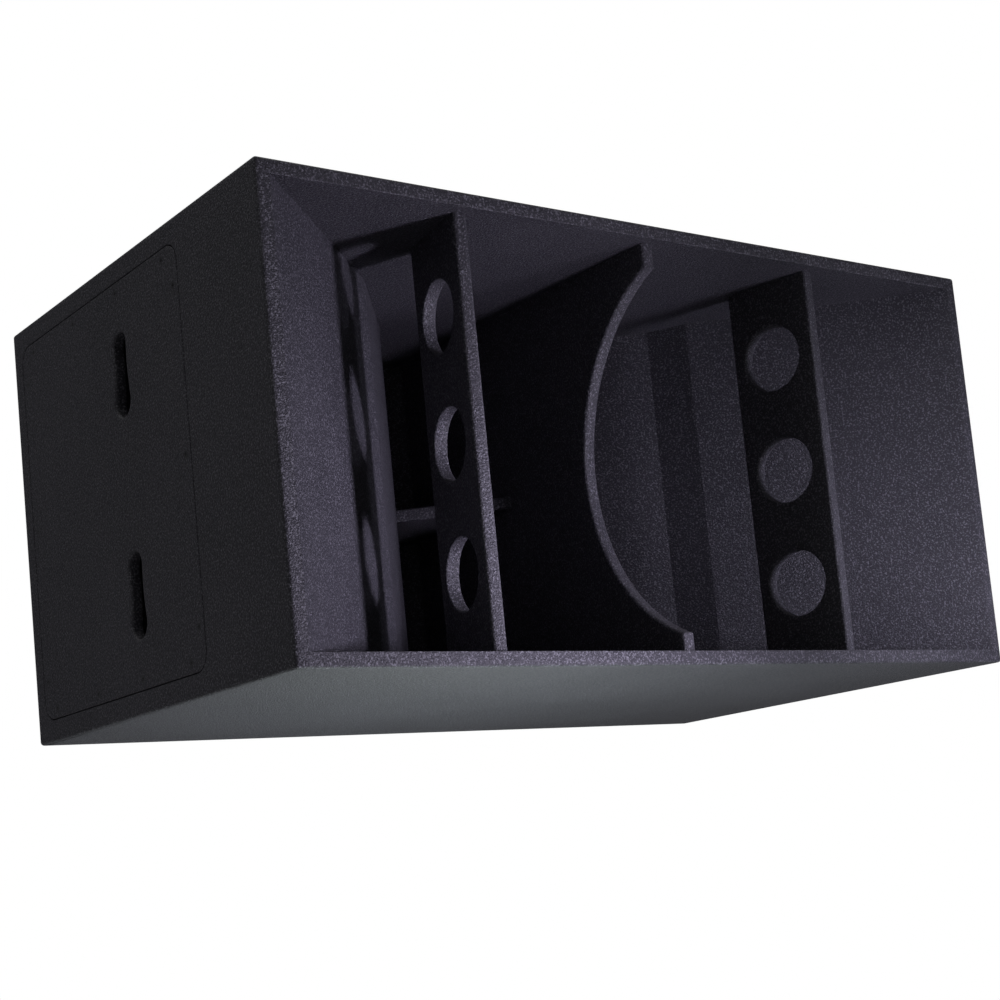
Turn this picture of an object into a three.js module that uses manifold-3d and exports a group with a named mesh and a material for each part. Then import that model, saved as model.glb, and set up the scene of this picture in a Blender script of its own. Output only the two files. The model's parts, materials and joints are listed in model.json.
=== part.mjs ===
// A folded-horn bass cabinet with one 15 inch driver.
//
// The cabinet stands on its bottom panel. X runs to the right as seen from the mouth, Y runs from the
// mouth to the back, Z is up, in millimetres. The origin is the middle of the bottom face.
//
// Sound leaves the driver backwards into a wedge between the driver baffle and the back panel, turns
// round the end of the left flare, and comes forwards along the long 45 degree right flare to the mouth.
import * as THREE from "three";
import { mergeVertices } from "three/addons/utils/BufferGeometryUtils.js";
import Module from "manifold-3d";

const wasm = await Module();
wasm.setup();

// ---- Driving dimensions -----------------------------------------------------------------------------
const WIDTH = 1140;
const DEPTH = 684;
const HEIGHT = 562;
const BOARD = 18; // plywood thickness of every panel
const GAP = 0.3; // clearance between pieces that touch

const FRONT = -DEPTH / 2;
const BACK = DEPTH / 2;
const SIDE_IN = WIDTH / 2 - BOARD; // inner face of each side panel
const BACK_IN = BACK - BOARD;
const FLOOR = BOARD + GAP; // underside of every standing board
const CEILING = HEIGHT - BOARD - GAP;
const MID = HEIGHT / 2;

// The two flares in plan. The left one has a bend and a free end, the right one runs to the back panel.
const LEFT_BEND = [-268, -76];
const LEFT_END = [-139, 93];
const RIGHT_LINE = 210; // x + y on the front board's face
const RIGHT_STEP = 61; // length of the bevelled end of the front board
const RIGHT_BEVEL_X = 284;
const FLARE_LAP = 120;

// Side braces: boards across the mouth with three round holes each.
const BRACE_X = 280; // left face of the right brace, at its front edge
const BRACE_SETBACK = 17;
const BRACE_DEPTH = 132;
const BRACE_TURN = THREE.MathUtils.degToRad(10.5);
const BRACE_HOLE_R = 45;
const BRACE_HOLE_PITCH = 157;
const BRACE_HOLE_IN = 69; // hole centre behind the front edge

// Centre brace: a board on the centre plane with a round bite out of its front edge.
const BITE_DEPTH = 157;
const BITE_TOP = 512;
const BITE_BOTTOM = 43;

// Shelf that stiffens the right flare inside the passage.
const SHELF_LINE = -9; // x + y on its free edge

// Driver baffle, from the end of the left flare to the back panel.
const BAFFLE_BACK_X = -520;
const DRIVER_ALONG = 222; // driver axis, measured along the baffle from the flare's end
const CONE_HOLE_R = 177;
const DRIVER_BOLTS = 8;
const DRIVER_BOLT_CIRCLE_R = 185;
const BOLT_R = 3;

// Access hatch in the left side panel.
const HATCH_FRONT = -147;
const HATCH_BACK = 315;
const HATCH_MARGIN = 28; // below and above
const HATCH_CORNER_R = 26;
const HATCH_SEAM = 1.4;
const HATCH_THICK = 15;
const SCREW_INSET = 14;
const SCREW_HEAD_R = 4.4;
const SCREW_R = 2.1;
const SCREW_LENGTH = 30;
const BATTEN_REACH = 27; // how far the batten frame shows inside the opening
const HAND_HOLE_Y = 20;
const HAND_HOLE_RISE = 137; // each hand hole's centre above or below mid height
const HAND_HOLE_LENGTH = 106;
const HAND_HOLE_TOP_R = 17;
const HAND_HOLE_FOOT_R = 20;
const CUP_DEPTH = 40;
const CUP_WALL = 3;

// Connector dish in the back panel.
const DISH_X = -400;
const DISH_Z = 70;
const DISH_WIDTH = 130;
const DISH_HEIGHT = 84;
const DISH_FLANGE = 14;
const DISH_DEPTH = 32;
const DISH_SKIN = 3;
const SOCKET_R = 12;
const SOCKET_REACH = 20; // behind the dish's floor

// Wiring. The grommet is placed from the driver's axis, along the baffle and upwards.
const GROMMET_AT = [83, -221];
const GROMMET_R = 9;
const WIRE_R = 1.8;

// ---- Materials --------------------------------------------------------------------------------------
const material = (color, roughness, metalness = 0) =>
  new THREE.MeshStandardMaterial({ color, roughness, metalness });
const paint = () => material(0x24262b, 0.75);
const rawBoard = () => material(0x9b7d55, 0.8);
const blackSteel = () => material(0x1b1b1d, 0.45, 0.8);
const steel = () => material(0x8f9296, 0.35, 0.9);
const rubber = () => material(0x161616, 0.9);
const paper = () => material(0x1f1f20, 0.95);
const plastic = () => material(0x18181a, 0.5);

const cabinet = new THREE.Group();

// ---- Helpers ----------------------------------------------------------------------------------------
function addMesh(name, geometry, mat, parent = cabinet) {
  const mesh = new THREE.Mesh(geometry, mat);
  mesh.name = name;
  parent.add(mesh);
  return mesh;
}

function solidFrom(geometry) {
  const bare = geometry.clone();
  bare.deleteAttribute("normal");
  bare.deleteAttribute("uv");
  const merged = mergeVertices(bare, 1e-4);
  return new wasm.Manifold(
    new wasm.Mesh({
      numProp: 3,
      vertProperties: merged.attributes.position.array,
      triVerts: new Uint32Array(merged.index.array),
    }),
  );
}

function geometryFrom(solid) {
  const mesh = solid.getMesh();
  const geometry = new THREE.BufferGeometry();
  geometry.setAttribute("position", new THREE.BufferAttribute(mesh.vertProperties, 3));
  geometry.setIndex(new THREE.BufferAttribute(mesh.triVerts, 1));
  geometry.computeVertexNormals();
  return geometry;
}

function cut(geometry, cutters) {
  let solid = solidFrom(geometry);
  for (const cutter of cutters) solid = solid.subtract(solidFrom(cutter));
  return geometryFrom(solid);
}

// A flat outline drawn in its own plane and given a thickness.
function slab(shape, thickness, curveSegments = 12) {
  return new THREE.ExtrudeGeometry(shape, { depth: thickness, bevelEnabled: false, curveSegments });
}

function polygon(points) {
  return new THREE.Shape(points.map(([x, y]) => new THREE.Vector2(x, y)));
}

// A board that stands between the bottom and top panels, from its outline in plan.
function standing(points, low = FLOOR, high = CEILING) {
  return slab(polygon(points), high - low).translate(0, 0, low);
}

function block(x0, x1, y0, y1, z0, z1) {
  const box = new THREE.BoxGeometry(x1 - x0, y1 - y0, z1 - z0);
  return box.translate((x0 + x1) / 2, (y0 + y1) / 2, (z0 + z1) / 2);
}

// Turns an outline drawn in (y, z) and extruded along its own third axis into a board across X.
function acrossX(geometry, x) {
  const turn = new THREE.Matrix4().makeBasis(
    new THREE.Vector3(0, 1, 0),
    new THREE.Vector3(0, 0, 1),
    new THREE.Vector3(1, 0, 0),
  );
  return geometry.applyMatrix4(turn).translate(x, 0, 0);
}

// A solid of revolution about its own Z axis, from (radius, height) points that close on themselves.
function turned(points, segments) {
  const profile = points.map(([r, z]) => new THREE.Vector2(r, z));
  const onAxis = points[0][0] === 0 && points[points.length - 1][0] === 0;
  if (!onAxis) profile.push(profile[0].clone());
  return new THREE.LatheGeometry(profile, segments).rotateX(Math.PI / 2);
}

function rod(radius, length, segments) {
  return turned([[0, 0], [radius, 0], [radius, length], [0, length]], segments);
}

function ring(inner, outer, low, high, segments) {
  return turned([[inner, low], [outer, low], [outer, high], [inner, high]], segments);
}

function roundedRectangle(x0, x1, y0, y1, radius) {
  const shape = new THREE.Shape();
  shape.absarc(x1 - radius, y0 + radius, radius, -Math.PI / 2, 0);
  shape.absarc(x1 - radius, y1 - radius, radius, 0, Math.PI / 2);
  shape.absarc(x0 + radius, y1 - radius, radius, Math.PI / 2, Math.PI);
  shape.absarc(x0 + radius, y0 + radius, radius, Math.PI, 1.5 * Math.PI);
  return shape;
}

function circlePath(x, y, radius) {
  return new THREE.Path().absarc(x, y, radius, 0, 2 * Math.PI);
}

// ---- Outer panels -----------------------------------------------------------------------------------
function addOuterPanels() {
  const half = WIDTH / 2;
  addMesh("bottom_panel", block(-half, half, FRONT, BACK, 0, BOARD), paint());
  addMesh("top_panel", block(-half, half, FRONT, BACK, HEIGHT - BOARD, HEIGHT), paint());
  addMesh("right_side_panel", block(SIDE_IN, half, FRONT, BACK, FLOOR, CEILING), paint());

  const side = new THREE.Shape();
  side.moveTo(FRONT, FLOOR);
  side.lineTo(BACK, FLOOR);
  side.lineTo(BACK, CEILING);
  side.lineTo(FRONT, CEILING);
  side.holes.push(hatchOutline(0));
  addMesh("left_side_panel", acrossX(slab(side, BOARD, 6), -half), paint());

  const panel = block(-SIDE_IN + GAP, SIDE_IN - GAP, BACK_IN, BACK, FLOOR, CEILING);
  addMesh("back_panel", cut(panel, dishCutters()), paint());
}

function hatchOutline(inset) {
  return roundedRectangle(
    HATCH_FRONT + inset,
    HATCH_BACK - inset,
    HATCH_MARGIN + inset,
    HEIGHT - HATCH_MARGIN - inset,
    Math.max(HATCH_CORNER_R - inset, 4),
  );
}

// ---- Horn walls -------------------------------------------------------------------------------------
function unit([x0, y0], [x1, y1]) {
  const length = Math.hypot(x1 - x0, y1 - y0);
  return [(x1 - x0) / length, (y1 - y0) / length];
}

function offset([x, y], [dx, dy], distance) {
  return [x + dx * distance, y + dy * distance];
}

// Where the line through p along d meets the line through q along e.
function meet(p, d, q, e) {
  const t = ((q[0] - p[0]) * e[1] - (q[1] - p[1]) * e[0]) / (d[0] * e[1] - d[1] * e[0]);
  return offset(p, d, t);
}

const leftMouth = [-SIDE_IN + GAP, FRONT];
const leftFront = unit(leftMouth, LEFT_BEND);
const leftRear = unit(LEFT_BEND, LEFT_END);
const leftFrontOut = [-leftFront[1], leftFront[0]]; // away from the mouth, into the driver chamber
const leftRearOut = [-leftRear[1], leftRear[0]];
const chamberBend = meet(
  offset(leftMouth, leftFrontOut, BOARD),
  leftFront,
  offset(LEFT_END, leftRearOut, BOARD),
  leftRear,
);

function addLeftFlare() {
  const mitre = unit(LEFT_BEND, chamberBend);
  const across = [mitre[1], -mitre[0]];
  const startBehind = meet(offset(leftMouth, leftFrontOut, BOARD), leftFront, leftMouth, [0, 1]);
  addMesh(
    "left_flare_front",
    standing([
      leftMouth,
      offset(LEFT_BEND, across, -GAP / 2),
      offset(chamberBend, across, -GAP / 2),
      startBehind,
    ]),
    paint(),
  );
  addMesh(
    "left_flare_rear",
    standing([
      offset(LEFT_BEND, across, GAP / 2),
      LEFT_END,
      offset(LEFT_END, leftRearOut, BOARD),
      offset(chamberBend, across, GAP / 2),
    ]),
    paint(),
  );
}

const RIGHT_REAR_LINE = RIGHT_LINE + (BOARD + GAP) * Math.SQRT2; // x + y on the rear board's face

function addRightFlare() {
  const mouthX = SIDE_IN - GAP;
  const behind = RIGHT_LINE + BOARD * Math.SQRT2;
  const bevelRun = Math.sqrt(RIGHT_STEP ** 2 - BOARD ** 2) / Math.SQRT2;
  const bevelX = RIGHT_BEVEL_X - bevelRun + BOARD / Math.SQRT2;
  addMesh(
    "right_flare_front",
    standing([
      [mouthX, RIGHT_LINE - mouthX],
      [mouthX, behind - mouthX],
      [bevelX, behind - bevelX],
      [RIGHT_BEVEL_X, RIGHT_LINE - RIGHT_BEVEL_X],
    ]),
    paint(),
  );
  const far = RIGHT_REAR_LINE + BOARD * Math.SQRT2;
  const lapX = bevelX + FLARE_LAP;
  const end = BACK_IN - GAP;
  addMesh(
    "right_flare_rear",
    standing([
      [lapX, RIGHT_REAR_LINE - lapX],
      [lapX + BOARD / Math.SQRT2, RIGHT_REAR_LINE - lapX + BOARD / Math.SQRT2],
      [far - end, end],
      [RIGHT_REAR_LINE - end, end],
    ]),
    paint(),
  );
}

// ---- Braces -----------------------------------------------------------------------------------------
function addSideBrace(name, mirrored) {
  const board = polygon([
    [0, FLOOR],
    [BRACE_DEPTH, FLOOR],
    [BRACE_DEPTH, CEILING],
    [0, CEILING],
  ]);
  for (const row of [-1, 0, 1])
    board.holes.push(circlePath(BRACE_HOLE_IN, MID + row * BRACE_HOLE_PITCH, BRACE_HOLE_R));
  const geometry = acrossX(slab(board, BOARD, 18), 0);
  if (mirrored) geometry.translate(-BOARD, 0, 0);
  const mesh = addMesh(name, geometry, paint());
  mesh.rotation.z = mirrored ? -BRACE_TURN : BRACE_TURN;
  mesh.position.set(mirrored ? -BRACE_X : BRACE_X, FRONT + BRACE_SETBACK, 0);
}

// The bite is a circular arc through the two corners of the tabs and the deepest point.
function biteCutter() {
  const half = (BITE_TOP - BITE_BOTTOM) / 2;
  const radius = (half ** 2 + BITE_DEPTH ** 2) / (2 * BITE_DEPTH);
  const front = FRONT + BRACE_SETBACK;
  const spread = Math.asin(half / radius);
  const shape = new THREE.Shape();
  shape.moveTo(front - BOARD, BITE_TOP);
  shape.lineTo(front - BOARD, BITE_BOTTOM);
  shape.absarc(front + BITE_DEPTH - radius, (BITE_TOP + BITE_BOTTOM) / 2, radius, -spread, spread);
  return acrossX(slab(shape, 3 * BOARD, 48), -1.5 * BOARD);
}

function addCentreBrace() {
  const front = FRONT + BRACE_SETBACK;
  const half = BOARD / 2;
  const wall = RIGHT_REAR_LINE - GAP * Math.SQRT2;
  const board = standing([
    [-half, front],
    [half, front],
    [half, wall - half],
    [-half, wall + half],
  ]);
  addMesh("centre_brace", cut(board, [biteCutter()]), paint());
}

function addPassageShelf() {
  const right = -BOARD / 2 - GAP;
  const wall = RIGHT_REAR_LINE - GAP * Math.SQRT2;
  const back = BACK_IN - GAP;
  const cornerX = wall - back;
  const cut45 = (wall - SHELF_LINE) / 2;
  addMesh(
    "passage_shelf",
    standing(
      [
        [right, SHELF_LINE - right],
        [right, wall - right],
        [cornerX, back],
        [cornerX - cut45, back - cut45],
      ],
      MID - BOARD / 2,
      MID + BOARD / 2,
    ),
    paint(),
  );
}

// ---- Driver baffle ----------------------------------------------------------------------------------
// The baffle's throat face starts at the flare's outer corner, and its chamber face is one board closer.
const flareTip = offset(LEFT_END, leftRearOut, BOARD + GAP);
const baffleCorner = [BAFFLE_BACK_X, BACK_IN - GAP];
const baffleAlong = unit(LEFT_END, baffleCorner);
const chamberward = [-baffleAlong[1], baffleAlong[0]];
const driverCentre = offset(
  offset(LEFT_END, baffleAlong, DRIVER_ALONG),
  chamberward,
  BOARD + GAP,
);

function driverGroup() {
  const out = new THREE.Vector3(-chamberward[0], -chamberward[1], 0); // towards the throat
  const up = new THREE.Vector3(0, 0, 1);
  const group = new THREE.Group();
  group.quaternion.setFromRotationMatrix(
    new THREE.Matrix4().makeBasis(new THREE.Vector3().crossVectors(up, out), up, out),
  );
  group.position.set(driverCentre[0], driverCentre[1], MID);
  group.updateMatrixWorld(true);
  cabinet.add(group);
  return group;
}

function boltPlaces() {
  return Array.from({ length: DRIVER_BOLTS }, (_, i) => {
    const angle = ((i + 0.5) / DRIVER_BOLTS) * 2 * Math.PI;
    return [DRIVER_BOLT_CIRCLE_R * Math.cos(angle), DRIVER_BOLT_CIRCLE_R * Math.sin(angle)];
  });
}

function addDriverBaffle(group) {
  const chamberFace = offset(LEFT_END, chamberward, BOARD);
  const board = standing([
    meet(LEFT_END, baffleAlong, flareTip, leftRear),
    meet(chamberFace, baffleAlong, flareTip, leftRear),
    meet(chamberFace, baffleAlong, [-SIDE_IN + GAP, 0], [0, 1]),
    [-SIDE_IN + GAP, BACK_IN - GAP],
    baffleCorner,
  ]);
  const place = (geometry) => geometry.applyMatrix4(group.matrixWorld);
  const cutters = [place(rod(CONE_HOLE_R, 4 * BOARD, 48).translate(0, 0, -BOARD))];
  for (const [x, y] of boltPlaces())
    cutters.push(place(rod(BOLT_R + GAP, 4 * BOARD, 10).translate(x, y, -BOARD)));
  cutters.push(place(rod(GROMMET_R, 4 * BOARD, 16).translate(...GROMMET_AT, -BOARD)));
  addMesh("driver_baffle", cut(board, cutters), paint());
}

// ---- Access hatch -----------------------------------------------------------------------------------
function screwPlaces() {
  const front = HATCH_FRONT + SCREW_INSET;
  const back = HATCH_BACK - SCREW_INSET;
  const low = HATCH_MARGIN + SCREW_INSET;
  const high = HEIGHT - HATCH_MARGIN - SCREW_INSET;
  const rowStart = HATCH_FRONT + 39;
  const rowStep = 128;
  const columnStep = 201;
  const places = [];
  for (let i = 0; i < 4; i += 1)
    for (const z of [low, high]) places.push([rowStart + i * rowStep, z]);
  for (const step of [-1, 0, 1])
    for (const y of [front, back]) places.push([y, MID + step * columnStep]);
  return places;
}

// A waisted slot with a wider foot: two round ends joined by gently hollow sides.
function handHole(z, grow = 0) {
  const top = z + HAND_HOLE_LENGTH / 2 - HAND_HOLE_TOP_R;
  const foot = z - HAND_HOLE_LENGTH / 2 + HAND_HOLE_FOOT_R;
  const topR = HAND_HOLE_TOP_R + grow;
  const footR = HAND_HOLE_FOOT_R + grow;
  const waist = HAND_HOLE_TOP_R - 3 + grow;
  const shape = new THREE.Shape();
  shape.absarc(HAND_HOLE_Y, foot, footR, Math.PI, 2 * Math.PI);
  shape.quadraticCurveTo(HAND_HOLE_Y + waist, z, HAND_HOLE_Y + topR, top);
  shape.absarc(HAND_HOLE_Y, top, topR, 0, Math.PI);
  shape.quadraticCurveTo(HAND_HOLE_Y - waist, z, HAND_HOLE_Y - footR, foot);
  return shape;
}

const handHoleHeights = [MID + HAND_HOLE_RISE, MID - HAND_HOLE_RISE];

// Points along X outwards through the left side, from its outer face inwards.
function alongX(geometry, y, z, x = -WIDTH / 2) {
  return geometry.rotateY(Math.PI / 2).translate(x, y, z);
}

const SCREW_HEAD_DEPTH = 2.6;

function screwBody(grow) {
  const head = SCREW_HEAD_R + grow;
  const shank = SCREW_R + grow;
  const start = grow > 0 ? -1 : 0;
  const length = grow > 0 ? SCREW_LENGTH + 10 : SCREW_LENGTH;
  return turned(
    [[0, start], [head, start], [head, 0.6], [shank, SCREW_HEAD_DEPTH + grow], [shank, length], [0, length]],
    10,
  );
}

function addHatch() {
  const group = new THREE.Group();
  cabinet.add(group);

  const panel = hatchOutline(HATCH_SEAM);
  for (const z of handHoleHeights) panel.holes.push(handHole(z));
  const board = acrossX(slab(panel, HATCH_THICK, 6), -WIDTH / 2);
  const holes = screwPlaces().map(([y, z]) => alongX(screwBody(GAP), y, z));
  addMesh("access_hatch", cut(board, holes), paint(), group);

  const seal = hatchOutline(19);
  seal.holes.push(hatchOutline(26));
  const sealThick = BOARD - HATCH_THICK - GAP;
  addMesh("hatch_gasket", acrossX(slab(seal, sealThick, 3), -SIDE_IN - sealThick), rubber(), group);

  screwPlaces().forEach(([y, z], i) => {
    const label = String(i + 1).padStart(2, "0");
    addMesh("hatch_screw_" + label, alongX(screwBody(0), y, z), blackSteel(), group);
  });

  ["upper", "lower"].forEach((label, i) => addHandCup("hand_cup_" + label, handHoleHeights[i], group));
}

function addHandCup(name, z, group) {
  const half = 34;
  const reach = HAND_HOLE_LENGTH / 2 + 12;
  const start = -WIDTH / 2 + HATCH_THICK + GAP;
  const outer = roundedRectangle(HAND_HOLE_Y - half, HAND_HOLE_Y + half, z - reach, z + reach, 12);
  const body = acrossX(slab(outer, CUP_DEPTH, 3), start);
  const hollow = roundedRectangle(
    HAND_HOLE_Y - half + CUP_WALL,
    HAND_HOLE_Y + half - CUP_WALL,
    z - reach + CUP_WALL,
    z + reach - CUP_WALL,
    9,
  );
  const cutter = acrossX(slab(hollow, CUP_DEPTH, 3), start - CUP_WALL);
  addMesh(name, cut(body, [cutter]), plastic(), group);
}

// A ring of battens glued behind the opening, which the hatch screws into.
function addHatchFrame() {
  const start = -SIDE_IN + GAP;
  const outer = polygon([
    [HATCH_FRONT - 20, FLOOR],
    [BACK_IN - GAP, FLOOR],
    [BACK_IN - GAP, CEILING],
    [HATCH_FRONT - 20, CEILING],
  ]);
  outer.holes.push(hatchOutline(BATTEN_REACH));
  const body = acrossX(slab(outer, BOARD, 4), start);
  const holes = screwPlaces().map(([y, z]) => alongX(rod(SCREW_R + GAP, 3 * BOARD, 10), y, z));
  // The rear batten is planed back where the driver baffle leans over it.
  const face = offset(LEFT_END, chamberward, BOARD + GAP);
  const behind = offset(face, chamberward, -4 * BOARD);
  const along = offset([0, 0], baffleAlong, 2 * WIDTH);
  const plane = standing(
    [
      face,
      behind,
      [behind[0] + along[0], behind[1] + along[1]],
      [face[0] + along[0], face[1] + along[1]],
    ],
    0,
    HEIGHT,
  );
  addMesh("hatch_frame", cut(body, [...holes, plane]), rawBoard());
}

// ---- Driver -----------------------------------------------------------------------------------------
// Heights are along the driver's axis: 0 is the flange face on the baffle, negative is into the chamber.
const FLANGE_R = 194;
const FLANGE_THICK = 8;
const SURROUND_IN_R = 151;
const BASKET_TOP_R = 176;
const BASKET_FOOT_R = 88;
const BASKET_FOOT = -98;
const BASKET_SKIN = 5;
const ROUND = 40; // facets round every ring of the driver, so that neighbouring rings keep their gap
const GAP_IN_R = 48; // pole
const GAP_OUT_R = 53.5; // top plate bore
const COIL_IN_R = 49.3;
const COIL_OUT_R = 51.8;
const MAGNET_R = 104;
const CONE_NECK = -78;
const TERMINAL_R = 146; // outer face of the terminal block on the basket
const TERMINAL_AT = -50;
const TERMINAL_ANGLE = (5 / 3) * Math.PI;

function basketWindows() {
  const windows = [];
  const count = 6;
  for (let i = 0; i < count; i += 1) {
    const wedge = new THREE.Shape();
    wedge.moveTo(108 * Math.cos(0.36), -108 * Math.sin(0.36));
    wedge.absarc(0, 0, FLANGE_R + 10, -0.36, 0.36);
    wedge.absarc(0, 0, 108, 0.36, -0.36, true);
    const cutter = slab(wedge, 58, 6).translate(0, 0, BASKET_FOOT + 16);
    windows.push(cutter.rotateZ(((i + 0.5) / count) * 2 * Math.PI));
  }
  return windows;
}

function addDriverFrame(group) {
  const shell = turned(
    [
      [SURROUND_IN_R + 18, -FLANGE_THICK],
      [BASKET_FOOT_R - BASKET_SKIN, BASKET_FOOT + BASKET_SKIN],
      [60, BASKET_FOOT + BASKET_SKIN],
      [60, BASKET_FOOT],
      [BASKET_FOOT_R, BASKET_FOOT],
      [BASKET_TOP_R, -FLANGE_THICK],
      [FLANGE_R, -FLANGE_THICK],
      [FLANGE_R, 0],
      [SURROUND_IN_R + 18, 0],
    ],
    ROUND,
  );
  const cutters = basketWindows();
  for (const [x, y] of boltPlaces()) {
    cutters.push(rod(BOLT_R + GAP, 4 * FLANGE_THICK, 10).translate(x, y, -3 * FLANGE_THICK));
  }
  const terminals = block(TERMINAL_R - 18, TERMINAL_R, -9, 9, TERMINAL_AT - 8, TERMINAL_AT + 8);
  terminals.rotateZ(TERMINAL_ANGLE);
  const basket = solidFrom(cut(shell, cutters)).add(solidFrom(terminals));
  addMesh("driver_frame", geometryFrom(basket), blackSteel(), group);
}

function addMotor(group) {
  const plateTop = BASKET_FOOT - GAP;
  const plateFoot = plateTop - 8;
  const magnetTop = plateFoot - GAP;
  const magnetFoot = magnetTop - 38;
  const backTop = magnetFoot - GAP;
  const backFoot = backTop - 10;
  addMesh("driver_top_plate", ring(GAP_OUT_R, 84, plateFoot, plateTop, ROUND), steel(), group);
  addMesh("driver_magnet", ring(64, MAGNET_R, magnetFoot, magnetTop, ROUND), material(0x3a3a3d, 0.6), group);
  const pole = turned(
    [
      [12, backFoot],
      [92, backFoot],
      [92, backTop],
      [GAP_IN_R, backTop],
      [GAP_IN_R, plateTop],
      [12, plateTop],
    ],
    ROUND,
  );
  addMesh("driver_back_plate", pole, steel(), group);
}

function addMovingParts(group) {
  const neck = CONE_NECK;
  const coil = ring(COIL_IN_R, COIL_OUT_R, neck - 52, neck, ROUND);
  addMesh("voice_coil", coil, material(0xb0713a, 0.5, 0.6), group);
  const cone = turned(
    [
      [COIL_OUT_R + GAP, neck - 2],
      [COIL_OUT_R + 3, neck - 2],
      [110, -42],
      [SURROUND_IN_R, -10],
      [SURROUND_IN_R, -7.5],
      [110, -39],
      [COIL_OUT_R + GAP, neck + 2],
    ],
    ROUND,
  );
  addMesh("driver_cone", cone, paper(), group);
  const cap = turned(
    [[0, -46.5], [29, -50.5], [51, -59.5], [61, -69], [63, -68], [52, -57], [30, -48], [0, -44]],
    ROUND,
  );
  addMesh("driver_dust_cap", cap, paper(), group);
}

function addSuspension(group) {
  const inner = SURROUND_IN_R + GAP;
  const outer = SURROUND_IN_R + 18 - GAP;
  const centre = (inner + outer) / 2;
  const roll = (outer - inner) / 2;
  const points = [[inner, -7.6]];
  for (let i = 0; i <= 6; i += 1) {
    const angle = Math.PI - (i / 6) * Math.PI;
    points.push([centre + roll * Math.cos(angle), -5 + roll * Math.sin(angle)]);
  }
  points.push([outer, -7.6]);
  for (let i = 0; i <= 4; i += 1) {
    const angle = (i / 4) * Math.PI;
    points.push([centre + (roll - 2.5) * Math.cos(angle), -7 + (roll - 2.5) * Math.sin(angle)]);
  }
  addMesh("driver_surround", turned(points.reverse(), ROUND), rubber(), group);
  const spider = ring(COIL_OUT_R + GAP, BASKET_FOOT_R - BASKET_SKIN - 1, -91, -89.5, ROUND);
  addMesh("driver_spider", spider, material(0xb89a5c, 0.9), group);
}

function addDriverBolts(group) {
  boltPlaces().forEach(([x, y], i) => {
    const bolt = turned(
      [[0, -13], [5, -13], [5, -FLANGE_THICK - GAP], [BOLT_R, -FLANGE_THICK - GAP], [BOLT_R, 14], [0, 14]],
      10,
    );
    addMesh("driver_bolt_" + (i + 1), bolt.translate(x, y, 0), steel(), group);
  });
}

// ---- Connector dish and wiring ----------------------------------------------------------------------
const FLANGE_SKIN = 3;
const FLANGE_SINK = 2; // the flange lies this far below the back panel's face

const flangeFoot = BACK - FLANGE_SINK - FLANGE_SKIN;

function dishBlock(grow, y0, y1) {
  const halfWidth = DISH_WIDTH / 2 - DISH_FLANGE + grow;
  const halfHeight = DISH_HEIGHT / 2 - DISH_FLANGE + grow;
  return block(DISH_X - halfWidth, DISH_X + halfWidth, y0, y1, DISH_Z - halfHeight, DISH_Z + halfHeight);
}

function dishScrewPlaces() {
  const x = DISH_WIDTH / 2 - DISH_FLANGE / 2;
  const z = DISH_HEIGHT / 2 - DISH_FLANGE / 2;
  return [[-x, -z], [x, -z], [-x, z], [x, z]].map(([dx, dz]) => [DISH_X + dx, DISH_Z + dz]);
}

// Points along -Y, from the back panel's outer face inwards.
function intoBack(geometry, x, z, y = BACK) {
  return geometry.rotateX(Math.PI / 2).translate(x, y, z);
}

function dishCutters() {
  const rebate = dishBlock(DISH_FLANGE + GAP, flangeFoot - GAP, BACK + BOARD);
  const hole = dishBlock(GAP, BACK_IN - BOARD, BACK + BOARD);
  const screws = dishScrewPlaces().map(([x, z]) => intoBack(rod(2, 20, 8), x, z));
  return [rebate, hole, ...screws];
}

function addConnectorDish() {
  const flange = dishBlock(DISH_FLANGE, flangeFoot, BACK - FLANGE_SINK);
  const tub = dishBlock(0, BACK - DISH_DEPTH, BACK - FLANGE_SINK);
  const body = solidFrom(flange).add(solidFrom(tub));
  const hollow = dishBlock(-DISH_SKIN, BACK - DISH_DEPTH + DISH_SKIN, BACK + BOARD);
  const cutters = [hollow, intoBack(rod(SOCKET_R + GAP, 2 * DISH_DEPTH, 20), DISH_X, DISH_Z)];
  for (const [x, z] of dishScrewPlaces()) cutters.push(intoBack(rod(2, 16, 8), x, z));
  addMesh("connector_dish", cut(geometryFrom(body), cutters), plastic());

  const socket = turned(
    [
      [0, 8],
      [6, 8],
      [6, -4],
      [9, -4],
      [9, 8],
      [10.5, 8],
      [10.5, -4],
      [15, -4],
      [15, -GAP],
      [SOCKET_R, -GAP],
      [SOCKET_R, SOCKET_REACH],
      [0, SOCKET_REACH],
    ],
    20,
  );
  addMesh("speaker_socket", intoBack(socket, DISH_X, DISH_Z, dishFloor), material(0x1c2330, 0.4));

  dishScrewPlaces().forEach(([x, z], i) => {
    const screw = turned([[0, -1.6], [3.4, -1.6], [3.4, -GAP], [1.7, -GAP], [1.7, 13], [0, 13]], 8);
    addMesh("dish_screw_" + (i + 1), intoBack(screw, x, z, BACK - FLANGE_SINK), blackSteel());
  });
}

const dishFloor = BACK - DISH_DEPTH + DISH_SKIN;

function addGrommet(group) {
  const [x, y] = GROMMET_AT;
  const bore = GROMMET_R - 3.8;
  const lip = GROMMET_R + 3;
  const throatFace = GAP + BOARD;
  const profile = [
    [bore, -3],
    [lip, -3],
    [lip, 0],
    [GROMMET_R - GAP, 0],
    [GROMMET_R - GAP, throatFace + GAP],
    [lip, throatFace + GAP],
    [lip, throatFace + 3],
    [bore, throatFace + 3],
  ];
  addMesh("wire_grommet", turned(profile, 16).translate(x, y, 0), rubber(), group);
}

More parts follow.
